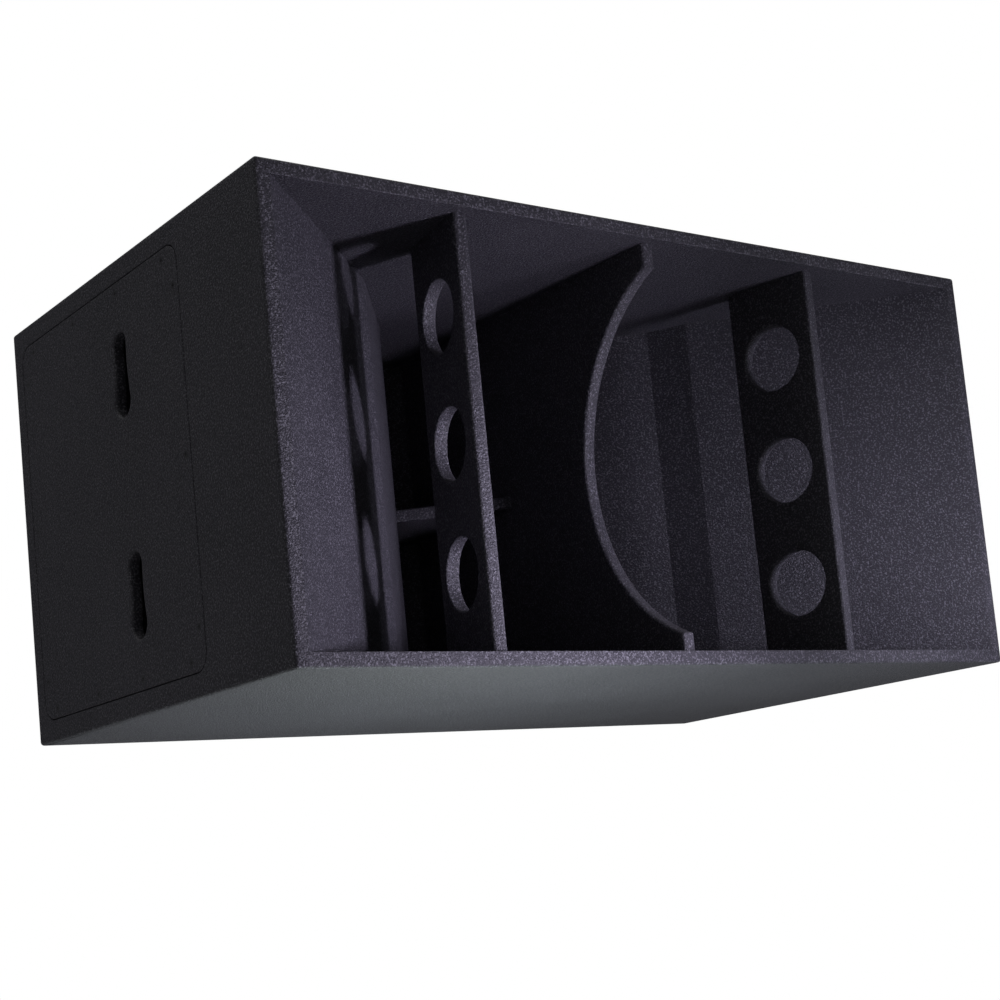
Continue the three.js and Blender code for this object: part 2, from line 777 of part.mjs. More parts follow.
// Each conductor runs from the socket through the grommet to the terminal block on the basket.
function wireRoute(side, group) {
  const place = (x, y, z) => new THREE.Vector3(x, y, z).applyMatrix4(group.matrixWorld);
  const [gx, gy] = GROMMET_AT;
  const inBore = gx + side * 2.2;
  const radial = (r) =>
    place(
      r * Math.cos(TERMINAL_ANGLE) - side * 4 * Math.sin(TERMINAL_ANGLE),
      r * Math.sin(TERMINAL_ANGLE) + side * 4 * Math.cos(TERMINAL_ANGLE),
      TERMINAL_AT,
    );
  const socketX = DISH_X - side * 4;
  const socketY = dishFloor - SOCKET_REACH - GAP;
  return [
    new THREE.Vector3(socketX, socketY, DISH_Z),
    new THREE.Vector3(socketX, socketY - 8, DISH_Z),
    place(inBore, gy, 30),
    place(inBore, gy, 21),
    place(inBore, gy, 9),
    place(inBore, gy, -4),
    place(inBore, gy + 4, -22),
    place(gx + side * 4, gy + 34, -45),
    radial(TERMINAL_R + 22),
    radial(TERMINAL_R + GAP),
  ];
}

function addWires(group) {
  const section = new THREE.Shape().absarc(0, 0, WIRE_R, 0, 2 * Math.PI);
  [["wire_positive", 1, 0x8c1f1f], ["wire_negative", -1, 0x101012]].forEach(([name, side, colour]) => {
    const extrudePath = new THREE.CatmullRomCurve3(wireRoute(side, group));
    const tube = new THREE.ExtrudeGeometry(section, { extrudePath, steps: 34, curveSegments: 4 });
    addMesh(name, tube, material(colour, 0.5));
  });
}

// ---- The cabinet ------------------------------------------------------------------------------------
addOuterPanels();
addLeftFlare();
addRightFlare();
addSideBrace("left_brace", true);
addSideBrace("right_brace", false);
addCentreBrace();
addPassageShelf();

const driver = driverGroup();
addDriverBaffle(driver);
addHatchFrame();
addHatch();

addDriverFrame(driver);
addMotor(driver);
addSuspension(driver);
addMovingParts(driver);
addDriverBolts(driver);

addConnectorDish();
addGrommet(driver);
addWires(driver);

export default cabinet;
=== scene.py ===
# %% [markdown]
# # A folded-horn bass cabinet
# The cabinet is a plywood box, sprayed with a textured black paint. Its wide mouth is a horn that is folded
# once behind the left flare, where the driver sits in a closed chamber. This lesson rebuilds its looks
# round a fixed model: every piece goes where the model says, in metres, with X to the right seen from the
# mouth, Y from the mouth to the back and Z up.

# %% Load the model
import json
import math

import bmesh
import bpy
import numpy as np
from mathutils import Matrix, Vector
from mathutils.geometry import tessellate_polygon


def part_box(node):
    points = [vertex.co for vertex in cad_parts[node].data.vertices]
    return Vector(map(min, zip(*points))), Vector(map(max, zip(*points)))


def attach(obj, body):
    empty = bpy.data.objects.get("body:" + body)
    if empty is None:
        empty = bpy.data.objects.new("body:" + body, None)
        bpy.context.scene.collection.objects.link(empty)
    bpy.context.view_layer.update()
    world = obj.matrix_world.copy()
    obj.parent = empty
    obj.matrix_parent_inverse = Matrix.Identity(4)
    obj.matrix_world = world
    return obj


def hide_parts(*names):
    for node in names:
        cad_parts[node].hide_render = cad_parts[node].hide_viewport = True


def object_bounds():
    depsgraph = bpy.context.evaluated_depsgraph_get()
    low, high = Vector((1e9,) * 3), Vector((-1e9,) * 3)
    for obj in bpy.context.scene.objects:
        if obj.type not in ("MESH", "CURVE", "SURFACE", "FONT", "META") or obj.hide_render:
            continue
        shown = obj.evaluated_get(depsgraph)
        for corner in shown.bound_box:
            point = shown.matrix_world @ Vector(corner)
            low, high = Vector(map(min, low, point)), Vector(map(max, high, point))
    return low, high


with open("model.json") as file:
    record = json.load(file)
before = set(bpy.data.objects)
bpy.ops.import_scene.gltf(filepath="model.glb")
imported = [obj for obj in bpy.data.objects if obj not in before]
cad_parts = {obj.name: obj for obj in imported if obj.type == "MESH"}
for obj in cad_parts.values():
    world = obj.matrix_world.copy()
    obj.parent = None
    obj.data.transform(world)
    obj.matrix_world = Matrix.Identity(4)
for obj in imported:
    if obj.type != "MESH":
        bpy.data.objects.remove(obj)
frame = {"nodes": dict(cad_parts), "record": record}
cad_box = [list(corner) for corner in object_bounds()]
slots = {part["node"]: part["material_slot"] for part in frame["record"]["subparts"]}
body_of = {node: body for body, nodes in frame["record"]["behaviour"]["bodies"].items() for node in nodes}
print("the box is", [round(h - l, 4) for l, h in zip(*cad_box)], "m, in", len(slots), "nodes")

# %% [markdown]
# ## The camera
# The cabinet is seen from in front of its left end and from a little below its bottom face, so its
# underside shows. A camera is three directions and a place. Azimuth and elevation say from where it looks,
# and roll tips it about its own line of sight. The shift slides the picture on the film and keeps the
# upright edges as they are.

# %% Camera
AZIMUTH, ELEVATION, ROLL = (math.radians(a) for a in (-38.14, -6.80, -5.71))


def camera_axes(azimuth, elevation, roll):
    """Right, up and back: the level axes for the azimuth and elevation, turned by the roll about back."""
    back = np.array([math.sin(azimuth) * math.cos(elevation), -math.cos(azimuth) * math.cos(elevation),
                     math.sin(elevation)])
    level = np.cross([0, 0, 1], back)
    level /= np.linalg.norm(level)
    upright = np.cross(back, level)
    right = math.cos(roll) * level + math.sin(roll) * upright
    return right, np.cross(back, right), back


CAMERA_AT, FOCAL_LENGTH, FILM_WIDTH, SHIFT = (-1.5708, -2.0621, -0.2536), 68.445, 36, (-0.06, 0.16)
lens = bpy.data.cameras.new("main_camera")
lens.lens, lens.sensor_width = FOCAL_LENGTH, FILM_WIDTH
lens.shift_x, lens.shift_y = SHIFT
lens.clip_start, lens.clip_end = 0.01, 100
camera = bpy.data.objects.new("main_camera", lens)
bpy.context.scene.collection.objects.link(camera)
turn = Matrix(np.column_stack(camera_axes(AZIMUTH, ELEVATION, ROLL)).tolist()).to_4x4()
camera.matrix_world = Matrix.Translation(CAMERA_AT) @ turn
bpy.context.scene.camera = camera
print("camera", [round(c, 3) for c in camera.location])

# %% [markdown]
# ## The floor and the light
# The floor is plain and pale and lies far below the cabinet, which hangs in the air as if flown, because
# the camera looks at it from underneath. A floor lit like the cabinet would look grey, so it glows a
# little, but only for the camera, and the glow lights nothing. Two small lamps stand in front of the mouth,
# a little below it. The left one throws the crisp shadow of the left brace and the light through its round
# holes. The right one lights the right wall past the right brace, whose left face stays dark. Each has a
# narrow spread, so that it keeps to its own half. A wide cool lamp from below makes the underside the
# brightest face, and wide ones from above and behind light the top, the back and the floor.

# %% Floor, lamps and sky
FLOOR_Z, FLOOR_R, FLOOR_POINTS, FLOOR_GLOW = -2.2, 8.0, 96, 0.62


def lamp(name, place, aim, size, watts, colour, spread=180):
    """A square area lamp of that size in metres at place, facing aim, with its spread in degrees."""
    light = bpy.data.lights.new(name, "AREA")
    light.size, light.energy, light.color, light.spread = size, watts, colour, math.radians(spread)
    obj = bpy.data.objects.new(name, light)
    obj.location = place
    obj.rotation_mode = "QUATERNION"
    obj.rotation_quaternion = (Vector(aim) - Vector(place)).to_track_quat("-Z", "Y")
    obj.visible_camera = False
    bpy.context.scene.collection.objects.link(obj)


lamp("mouth_lamp", (0.071, -0.963, -0.10), (-0.45, -0.1, 0.28), 0.10, 2.6, (0.84, 0.775, 1.0), 84)
lamp("right_lamp", (0.52, -1.05, -0.06), (0.36, 0.0, 0.30), 0.16, 1.7, (0.83, 0.79, 1.0), 80)
lamp("under_lamp", (-0.10, -0.08, -0.62), (-0.10, -0.08, 0.0), 0.4, 5.4, (0.86, 0.985, 0.96))
lamp("side_lamp", (-2.6, 1.2, -0.8), (-0.57, 0.2, 0.1), 0.8, 1.6, (0.95, 0.93, 1.0))
lamp("sky_lamp", (-0.4, 0.2, 3.0), (0.0, 0.0, 0.0), 3.0, 30.0, (1.0, 1.0, 1.0))
lamp("rear_lamp", (2.2, 2.4, 1.2), (0.3, 0.2, 0.28), 1.6, 60.0, (1.0, 1.0, 1.0))

turn_round = np.linspace(0, 2 * np.pi, FLOOR_POINTS, endpoint=False)
floor_rim = np.column_stack([FLOOR_R * np.cos(turn_round), FLOOR_R * np.sin(turn_round),
                             np.full(FLOOR_POINTS, FLOOR_Z)])
floor_mesh = bpy.data.meshes.new("floor")
floor_mesh.from_pydata(floor_rim.tolist(), [], [list(range(FLOOR_POINTS))])
floor = bpy.data.objects.new("floor", floor_mesh)
bpy.context.scene.collection.objects.link(floor)
pale = bpy.data.materials.new("pale_floor")
pale.use_nodes = True
pale_tree = pale.node_tree
paint = pale_tree.nodes["Principled BSDF"].inputs
paint["Base Color"].default_value, paint["Roughness"].default_value = (0.86, 0.86, 0.86, 1), 0.9
paint["Emission Color"].default_value = (FLOOR_GLOW, FLOOR_GLOW, FLOOR_GLOW, 1)
camera_sees = pale_tree.nodes.new("ShaderNodeLightPath").outputs["Is Camera Ray"]
pale_tree.links.new(camera_sees, paint["Emission Strength"])
floor_mesh.materials.append(pale)

sky = bpy.data.worlds.new("studio")
sky.use_nodes = True
bpy.context.scene.world = sky
sky.node_tree.nodes.clear()
seen, lit = (sky.node_tree.nodes.new("ShaderNodeBackground") for _ in range(2))
SKY_LIGHT = 0.13  # what the sky gives the cabinet, while the camera sees plain white
seen.inputs["Color"].default_value, seen.inputs["Strength"].default_value = (1, 1, 1, 1), 1.0
lit.inputs["Color"].default_value, lit.inputs["Strength"].default_value = (0.93, 0.92, 1.0, 1), SKY_LIGHT
ray_kind = sky.node_tree.nodes.new("ShaderNodeLightPath")
choose = sky.node_tree.nodes.new("ShaderNodeMixShader")
out = sky.node_tree.nodes.new("ShaderNodeOutputWorld")
for a, b in ((ray_kind.outputs["Is Camera Ray"], choose.inputs[0]), (lit.outputs[0], choose.inputs[1]),
             (seen.outputs[0], choose.inputs[2]), (choose.outputs[0], out.inputs[0])):
    sky.node_tree.links.new(a, b)
bpy.context.scene.view_settings.view_transform = "Standard"

# %% [markdown]
# ## Effects that several finishes share
# Sprayed texture, lighter rims (part wear, part painted highlight), dust and weave each turn up in more than
# one finish. Each is a node group with its own inputs, built once, that gives masks and heights back. Heights
# go to a Bump node.

# %% Small helpers for nodes
def node(tree, kind, inputs=None, **settings):
    """A new node of that kind. inputs maps a socket to a value, or to another node's output to link."""
    made = tree.nodes.new("ShaderNode" + kind)
    for key, value in settings.items():
        setattr(made, key, value)
    for key, value in (inputs or {}).items():
        if isinstance(value, bpy.types.NodeSocket):
            tree.links.new(value, made.inputs[key])
        else:
            made.inputs[key].default_value = value
    return made


def maths(tree, operation, a, b=0.0, c=0.0):
    """One arithmetic step, as its output socket."""
    return node(tree, "Math", {0: a, 1: b, 2: c}, operation=operation).outputs[0]


def between(tree, value, low, high, start=0.0, end=1.0):
    """value from low to high becomes start to end, with soft ends."""
    return node(tree, "MapRange", {"Value": value, "From Min": low, "From Max": high, "To Min": start,
                                   "To Max": end}, interpolation_type="SMOOTHSTEP").outputs[0]


def noise(tree, where, scale, detail=3.0, rough=0.55):
    """Cloudy noise with features of about 1 / scale metres."""
    made = node(tree, "TexNoise", {"Vector": where, "Scale": scale, "Detail": detail, "Roughness": rough})
    return made.outputs[0]


def effect(name, inputs, outputs):
    """An empty node group with number inputs {name: value} and number outputs, and its two end nodes."""
    tree = bpy.data.node_groups.new(name, "ShaderNodeTree")
    for key, value in inputs.items():
        tree.interface.new_socket(key, in_out="INPUT", socket_type="NodeSocketFloat").default_value = value
    for key in outputs:
        tree.interface.new_socket(key, in_out="OUTPUT", socket_type="NodeSocketFloat")
    return tree, tree.nodes.new("NodeGroupInput").outputs, tree.nodes.new("NodeGroupOutput").inputs


# %% Sprayed texture
spray, given, gives = effect("sprayed_texture", {"Scale": 900.0, "Speckle": 0.5}, ("Height", "Speckle"))
place = node(spray, "TexCoord").outputs["Object"]
soft = noise(spray, place, given["Scale"], 2.0, 0.6)
drops = node(spray, "TexVoronoi", {"Vector": place, "Scale": given["Scale"]}).outputs["Distance"]
height = maths(spray, "ADD", maths(spray, "MULTIPLY", soft, 0.6), maths(spray, "MULTIPLY", drops, -0.5))
spray.links.new(maths(spray, "ADD", height, 0.5), gives["Height"])
grain = noise(spray, place, maths(spray, "MULTIPLY", given["Scale"], 0.9), 1.0, 0.5)
dots = between(spray, grain, 0.50, 0.72)
spray.links.new(maths(spray, "MULTIPLY", dots, given["Speckle"]), gives["Speckle"])
print("sprayed_texture has", len(spray.nodes), "nodes")

# %% Rim wear and painted rim highlight
# The boards carry a value named rim, 1 on a rounded edge and 0 on the flats, and cloudy noise breaks it up.
# The mask lightens the rounded rims: partly wear, partly a painted highlight where light catches the edges.
rim_wear_and_light, given, gives = effect("rim_wear_and_painted_light", {"Amount": 0.5, "Patches": 14.0}, ("Mask",))
place = node(rim_wear_and_light, "TexCoord").outputs["Object"]
rim = node(rim_wear_and_light, "Attribute", attribute_name="rim").outputs["Fac"]
patch = between(rim_wear_and_light, noise(rim_wear_and_light, place, given["Patches"], 5.0, 0.7), 0.42, 0.68)
worn_and_lit_rim = maths(rim_wear_and_light, "MULTIPLY", maths(rim_wear_and_light, "MULTIPLY", rim, patch), given["Amount"])
rim_wear_and_light.links.new(worn_and_lit_rim, gives["Mask"])

# %% Settled dust
# Dust lies where a face looks up, so its mask is the upward part of the normal times a cloudy noise.
dusty, given, gives = effect("settled_dust", {"Amount": 0.3}, ("Mask",))
place = node(dusty, "TexCoord").outputs["Object"]
upward = node(dusty, "SeparateXYZ", {0: node(dusty, "NewGeometry").outputs["Normal"]}).outputs[2]
cloud = between(dusty, noise(dusty, place, 9.0, 6.0, 0.7), 0.35, 0.75, 0.25, 1.0)
lying = maths(dusty, "MULTIPLY", between(dusty, upward, 0.2, 1.0), cloud)
dusty.links.new(maths(dusty, "MULTIPLY", lying, given["Amount"]), gives["Mask"])

# %% Woven cloth
# Two sets of threads cross at right angles over the piece's own UV map, which is in metres.
woven, given, gives = effect("woven_cloth", {"Threads": 900.0}, ("Height",))
uv = node(woven, "SeparateXYZ", {0: node(woven, "TexCoord").outputs["UV"]}).outputs
per_metre = maths(woven, "MULTIPLY", given["Threads"], math.tau)
warp, weft = (maths(woven, "SINE", maths(woven, "MULTIPLY", axis, per_metre)) for axis in (uv[0], uv[1]))
cross = maths(woven, "MULTIPLY", warp, weft)
woven.links.new(maths(woven, "MULTIPLY_ADD", cross, 0.5, 0.5), gives["Height"])

# %% Turning marks
# A lathe leaves fine rings, so the height changes only along V, across the rings.
lathed, given, gives = effect("turning_marks", {"Rings": 1600.0}, ("Height",))
uv = node(lathed, "SeparateXYZ", {0: node(lathed, "TexCoord").outputs["UV"]}).outputs
line = node(lathed, "CombineXYZ", {0: maths(lathed, "MULTIPLY", uv[1], given["Rings"])}).outputs[0]
marks = node(lathed, "TexNoise", {"Vector": line, "Scale": 1.0, "Detail": 2.0}).outputs[0]
lathed.links.new(marks, gives["Height"])
print(len(bpy.data.node_groups), "shared effects")

# %% [markdown]
# ## The finishes
# A finish is a Principled shader and what feeds it. Black boards are never one black: the speckled paint
# has bright grains and dull ones, its rounded rims are painted lighter as wear and as a painted highlight,
# and dust greys what looks up.

# %% One maker for all finishes
finishes = {}


def finish(name, colour, roughness, metallic=0.0, **sockets):
    """A new material with its constants on the shader's own sockets. Returns its tree and its shader."""
    made = bpy.data.materials.new(name)
    made.use_nodes = True
    shader = made.node_tree.nodes["Principled BSDF"]
    shader.inputs["Base Color"].default_value = (*colour, 1)
    shader.inputs["Roughness"].default_value = roughness
    shader.inputs["Metallic"].default_value = metallic
    for key, value in sockets.items():
        shader.inputs[key.replace("_", " ")].default_value = value
    finishes[name] = made
    return made.node_tree, shader


def use(tree, group, **inputs):
    """A shared effect placed in a material with its own values, as its outputs."""
    made = tree.nodes.new("ShaderNodeGroup")
    made.node_tree = group
    for key, value in inputs.items():
        made.inputs[key].default_value = value
    return made.outputs


def blend_colours(tree, mask, a, b):
    """Colour a where the mask is 0, colour b where it is 1."""
    mixed = node(tree, "Mix", {"Factor": mask}, data_type="RGBA")
    for socket, value in ((mixed.inputs[6], a), (mixed.inputs[7], b)):
        if isinstance(value, bpy.types.NodeSocket):
            tree.links.new(value, socket)
        else:
            socket.default_value = (*value, 1)
    return mixed.outputs[2]


def relief(tree, shader, height, depth, strength=1.0):
    """Feeds a height to the shader's normal. depth is the relief in metres."""
    bump = node(tree, "Bump", {"Height": height, "Distance": depth, "Strength": strength})
    tree.links.new(bump.outputs[0], shader.inputs["Normal"])


# %% Textured paint
tree, shader = finish("textured_paint", (0.03, 0.03, 0.035), 0.6, Specular_IOR_Level=0.45)
grain = use(tree, spray, Scale=470.0, Speckle=0.72)
place = node(tree, "TexCoord").outputs["Object"]
cloud = between(tree, noise(tree, place, 4.0, 4.0, 0.6), 0.3, 0.7)
base = blend_colours(tree, cloud, (0.020, 0.0195, 0.0245), (0.029, 0.028, 0.034))
base = blend_colours(tree, grain["Speckle"], base, (0.16, 0.158, 0.175))
# Rims painted lighter: partly wear, partly a painted highlight where light catches the rounded edges.
base = blend_colours(tree, use(tree, rim_wear_and_light, Amount=0.35)["Mask"], base, (0.10, 0.10, 0.105))
base = blend_colours(tree, use(tree, dusty, Amount=0.22)["Mask"], base, (0.16, 0.155, 0.15))
tree.links.new(base, shader.inputs["Base Color"])
tree.links.new(between(tree, grain["Height"], 0.2, 0.8, 0.72, 0.5), shader.inputs["Roughness"])
relief(tree, shader, grain["Height"], 0.0016)

# %% Bare birch plywood
# On the flats the grain runs up and down. On the cut edges the plies show as thin layers across X.
tree, shader = finish("bare_plywood", (0.5, 0.36, 0.2), 0.55)
place = node(tree, "TexCoord").outputs["Object"]
stretched = node(tree, "Mapping", {"Vector": place, "Scale": (1, 1, 0.04)}).outputs[0]
fibre = noise(tree, stretched, 260.0, 5.0, 0.6)
layer = maths(tree, "SINE", maths(tree, "MULTIPLY", node(tree, "SeparateXYZ", {0: place}).outputs[0], 2240.0))
facing = node(tree, "SeparateXYZ", {0: node(tree, "NewGeometry").outputs["Normal"]}).outputs
across = maths(tree, "ABSOLUTE", facing[0])
edge = maths(tree, "MULTIPLY", between(tree, layer, -0.2, 0.2), between(tree, across, 0.2, 0.8, 1.0, 0.0))
base = blend_colours(tree, between(tree, fibre, 0.3, 0.75), (0.58, 0.43, 0.26), (0.42, 0.28, 0.14))
tree.links.new(blend_colours(tree, edge, base, (0.22, 0.13, 0.06)), shader.inputs["Base Color"])
relief(tree, shader, fibre, 0.0003)

# %% Black steel, powder coat and moulded plastics
for name, colour, rough, metal, scale, depth in (
        ("basket", (0.022, 0.022, 0.024), 0.42, 0.0, 1100.0, 0.00025),
        ("cup_plastic", (0.018, 0.018, 0.020), 0.55, 0.0, 1500.0, 0.0002),
        ("dish_plastic", (0.020, 0.020, 0.022), 0.50, 0.0, 1500.0, 0.0002),
        ("socket_plastic", (0.016, 0.026, 0.055), 0.34, 0.0, 2400.0, 0.00008),
        ("grommet_rubber", (0.022, 0.022, 0.022), 0.80, 0.0, 1800.0, 0.0001),
        ("black_screw", (0.05, 0.05, 0.052), 0.40, 0.85, 2200.0, 0.00006),
        ("ferrite", (0.055, 0.055, 0.060), 0.62, 0.0, 1300.0, 0.0003)):
    tree, shader = finish(name, colour, rough, metal)
    grain = use(tree, spray, Scale=scale, Speckle=0.3)
    pale_grain = tuple(min(1.0, 2.2 * c + 0.02) for c in colour)
    base = blend_colours(tree, grain["Speckle"], colour, pale_grain)
    base = blend_colours(tree, use(tree, dusty, Amount=0.2)["Mask"], base, (0.17, 0.165, 0.155))
    tree.links.new(base, shader.inputs["Base Color"])
    gloss = between(tree, grain["Height"], 0.2, 0.8, rough + 0.1, rough - 0.08)
    tree.links.new(gloss, shader.inputs["Roughness"])
    relief(tree, shader, grain["Height"], depth)

# %% Zinc plate, steel and copper
for name, colour, rough, metal, rings in (
        ("zinc_bolt", (0.56, 0.57, 0.58), 0.34, 1.0, 2600.0),
        ("motor_steel", (0.50, 0.50, 0.51), 0.36, 1.0, 1500.0),
        ("copper", (0.62, 0.28, 0.13), 0.38, 0.9, 2900.0)):
    tree, shader = finish(name, colour, rough, metal)
    marks = use(tree, lathed, Rings=rings)["Height"]
    cloud = between(tree, noise(tree, node(tree, "TexCoord").outputs["Object"], 60.0, 5.0, 0.65), 0.35, 0.7)
    dull = tuple(0.62 * c for c in colour)
    tree.links.new(blend_colours(tree, cloud, colour, dull), shader.inputs["Base Color"])
    tree.links.new(between(tree, cloud, 0.0, 1.0, rough, rough + 0.16), shader.inputs["Roughness"])
    relief(tree, shader, marks, 0.00012)

# %% Cloth, paper, foam and wire
for name, colour, light_colour, rough, threads, depth in (
        ("surround_cloth", (0.030, 0.028, 0.030), (0.07, 0.068, 0.072), 0.45, 1100.0, 0.0003),
        ("spider_cloth", (0.36, 0.22, 0.08), (0.56, 0.38, 0.16), 0.75, 1000.0, 0.0004)):
    tree, shader = finish(name, colour, rough)
    weave = use(tree, woven, Threads=threads)["Height"]
    tree.links.new(blend_colours(tree, weave, colour, light_colour), shader.inputs["Base Color"])
    relief(tree, shader, weave, depth)

for name, dark, light_colour, rough, scale, depth in (
        ("cone_paper", (0.028, 0.028, 0.029), (0.075, 0.073, 0.07), 0.85, 420.0, 0.0006),
        ("foam", (0.016, 0.016, 0.017), (0.045, 0.045, 0.046), 0.92, 1300.0, 0.0006),
        ("wire_red", (0.30, 0.022, 0.018), (0.40, 0.045, 0.035), 0.38, 500.0, 0.00006),
        ("wire_black", (0.014, 0.014, 0.015), (0.035, 0.035, 0.036), 0.38, 500.0, 0.00006)):
    tree, shader = finish(name, dark, rough)
    place = node(tree, "TexCoord").outputs["Object"]
    fibre = noise(tree, place, scale, 6.0, 0.75)
    mottled = blend_colours(tree, between(tree, fibre, 0.3, 0.7), dark, light_colour)
    tree.links.new(mottled, shader.inputs["Base Color"])
    relief(tree, shader, fibre, depth)
print(len(finishes), "finishes")

# %% [markdown]
# ## How a board is made
# Paint softens every edge of a plywood board, so a plain box looks wrong at once. Here a board is a closed
# outline carried through its thickness: a section of small steps in and up rounds its edges, and the flat
# faces are filled at the end. Each point of the outline has its own radius, so an edge that butts against
# its neighbour stays square and closes tightly, and only the edges one can touch are round.

# %% Outlines
MM = 0.001
ARC = np.linspace(0, np.pi / 2, 5)
BAND = 3 * MM  # flat strip beside a rounded edge, which keeps the face's shading flat


def rounded(points, radii, steps=5):
    """A closed outline with corner i replaced by an arc of radii[i]: centre on the bisector, ends where the
    arc touches the two sides, and unit spokes turned evenly from one end to the other."""
    points = np.asarray(points, float)
    made = []
    for here, before, after, radius in zip(points, np.roll(points, 1, 0), np.roll(points, -1, 0),
                                           np.broadcast_to(radii, len(points))):
        a, b = ((p - here) / np.linalg.norm(p - here) for p in (before, after))
        half = math.acos(np.clip(a @ b, -1, 1)) / 2
        if radius <= 0 or math.pi - 2 * half < 1e-3:
            made.append(here[None])
            continue
        centre = here + (a + b) / np.linalg.norm(a + b) * radius / math.sin(half)
        spokes = [(here + side * radius / math.tan(half) - centre) / radius for side in (a, b)]
        sweep_angle, part = math.pi - 2 * half, np.linspace(0, 1, steps)[:, None]
        made.append(centre + radius * (np.sin((1 - part) * sweep_angle) * spokes[0]
                                       + np.sin(part * sweep_angle) * spokes[1]) / math.sin(sweep_angle))
    return np.concatenate(made)


def circle(x, y, radius, count=32):
    """Points round a circle, clockwise, as a hole's outline runs."""
    angle = -np.linspace(0, 2 * np.pi, count, endpoint=False)
    return np.column_stack([x + radius * np.cos(angle), y + radius * np.sin(angle)])


def drawn_in(loop, distance):
    """The outline with edge i, from point i to the next, moved distance[i] to its left, which is into the
    board. A corner goes where its two moved edges cross: the step m has m . n1 = d1 and m . n2 = d2. Where
    the edges are nearly in line it moves by the mean distance along the mean of their normals."""
    ahead = np.roll(loop, -1, 0) - loop
    ahead /= np.linalg.norm(ahead, axis=1, keepdims=True)
    n2 = np.column_stack([-ahead[:, 1], ahead[:, 0]])
    n1, d2, d1 = np.roll(n2, 1, 0), distance[:, None], np.roll(distance, 1)[:, None]
    cross = (n1[:, 0] * n2[:, 1] - n1[:, 1] * n2[:, 0])[:, None]
    mean = (n1 + n2) / (1 + (n1 * n2).sum(1, keepdims=True)) * (d1 + d2) / 2
    turned = (d1 * n2[:, ::-1] * (1, -1) - d2 * n1[:, ::-1] * (1, -1)) / np.where(abs(cross) < 0.5, 1, cross)
    return loop + np.where(abs(cross) < 0.5, mean, turned)


def rim_rings(thick, back, front):
    """Rings from the back face over the back rim, up the wall and over the front rim: rows of each edge's
    inset, each point's height and each point's rim value. On an arc of radius r at angle a, the inset is
    r (1 - sin a) and the rise is r (1 - cos a), and a point takes the larger radius of its two edges."""
    band = min(BAND, (thick - back.max() - front.max()) / 3)
    b, f = (np.maximum(r, np.roll(r, 1)) for r in (back, front))
    none = 0 * back
    rows = [(back + band, none, none)]
    rows += [(back * (1 - math.sin(a)), b * (1 - math.cos(a)), math.sin(2 * a) * (b > 0)) for a in ARC]
    rows += [(none, b + band, none), (none, thick - f - band, none)]
    rows += [(front * (1 - math.sin(a)), thick - f * (1 - math.cos(a)), math.sin(2 * a) * (f > 0))
             for a in ARC[::-1]]
    return rows + [(front + band, none + thick, none)]


# %% Putting a mesh together
def quads(rows, columns, close_rows=False):
    """Corner numbers of the faces of a grid whose columns run round and close, numbered row by row."""
    row = np.arange(rows if close_rows else rows - 1)[:, None]
    column = np.arange(columns)[None]
    above, beside = (row + 1) % rows, (column + 1) % columns
    return np.stack([row * columns + column, row * columns + beside, above * columns + beside,
                     above * columns + column], -1).reshape(-1, 4)


def piece(name, points, faces, nodes, rim=None, uv=None, sharp=35, axes=np.eye(3), origin=(0, 0, 0)):
    """A mesh object from points in its own axes: merged, facing outwards, riding where the first node
    rides, with that node's finish, and standing for the nodes."""
    mesh = bpy.data.meshes.new(name)
    world = np.asarray(points, float).reshape(-1, 3) @ np.asarray(axes, float) + np.asarray(origin, float)
    mesh.from_pydata(world.tolist(), [], [list(map(int, f)) for f in faces])
    if rim is not None:
        # The rim value marks the rounded edges that the paint lightens, as wear and as a painted highlight.
        worn_and_lit_rim = mesh.attributes.new("rim", "FLOAT", "POINT")
        worn_and_lit_rim.data.foreach_set("value", np.asarray(rim, np.float32).ravel())
    if uv is not None:
        mesh.uv_layers.new(name="UVMap").data.foreach_set("uv", np.asarray(uv, np.float32).ravel())
    work = bmesh.new()
    work.from_mesh(mesh)
    bmesh.ops.remove_doubles(work, verts=work.verts, dist=2e-6)
    bmesh.ops.dissolve_degenerate(work, edges=work.edges, dist=2e-6)
    if work.calc_volume(signed=True) < 0:
        bmesh.ops.reverse_faces(work, faces=work.faces)
    work.to_mesh(mesh)
    work.free()
    mesh.shade_smooth()
    mesh.set_sharp_from_angle(angle=math.radians(sharp))
    made = bpy.data.objects.new(name, mesh)
    bpy.context.scene.collection.objects.link(made)
    mesh.materials.append(finishes[slots[nodes[0]]])
    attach(made, body_of[nodes[0]])
    if nodes[0] in frame["nodes"]:
        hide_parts(*nodes)
    return made


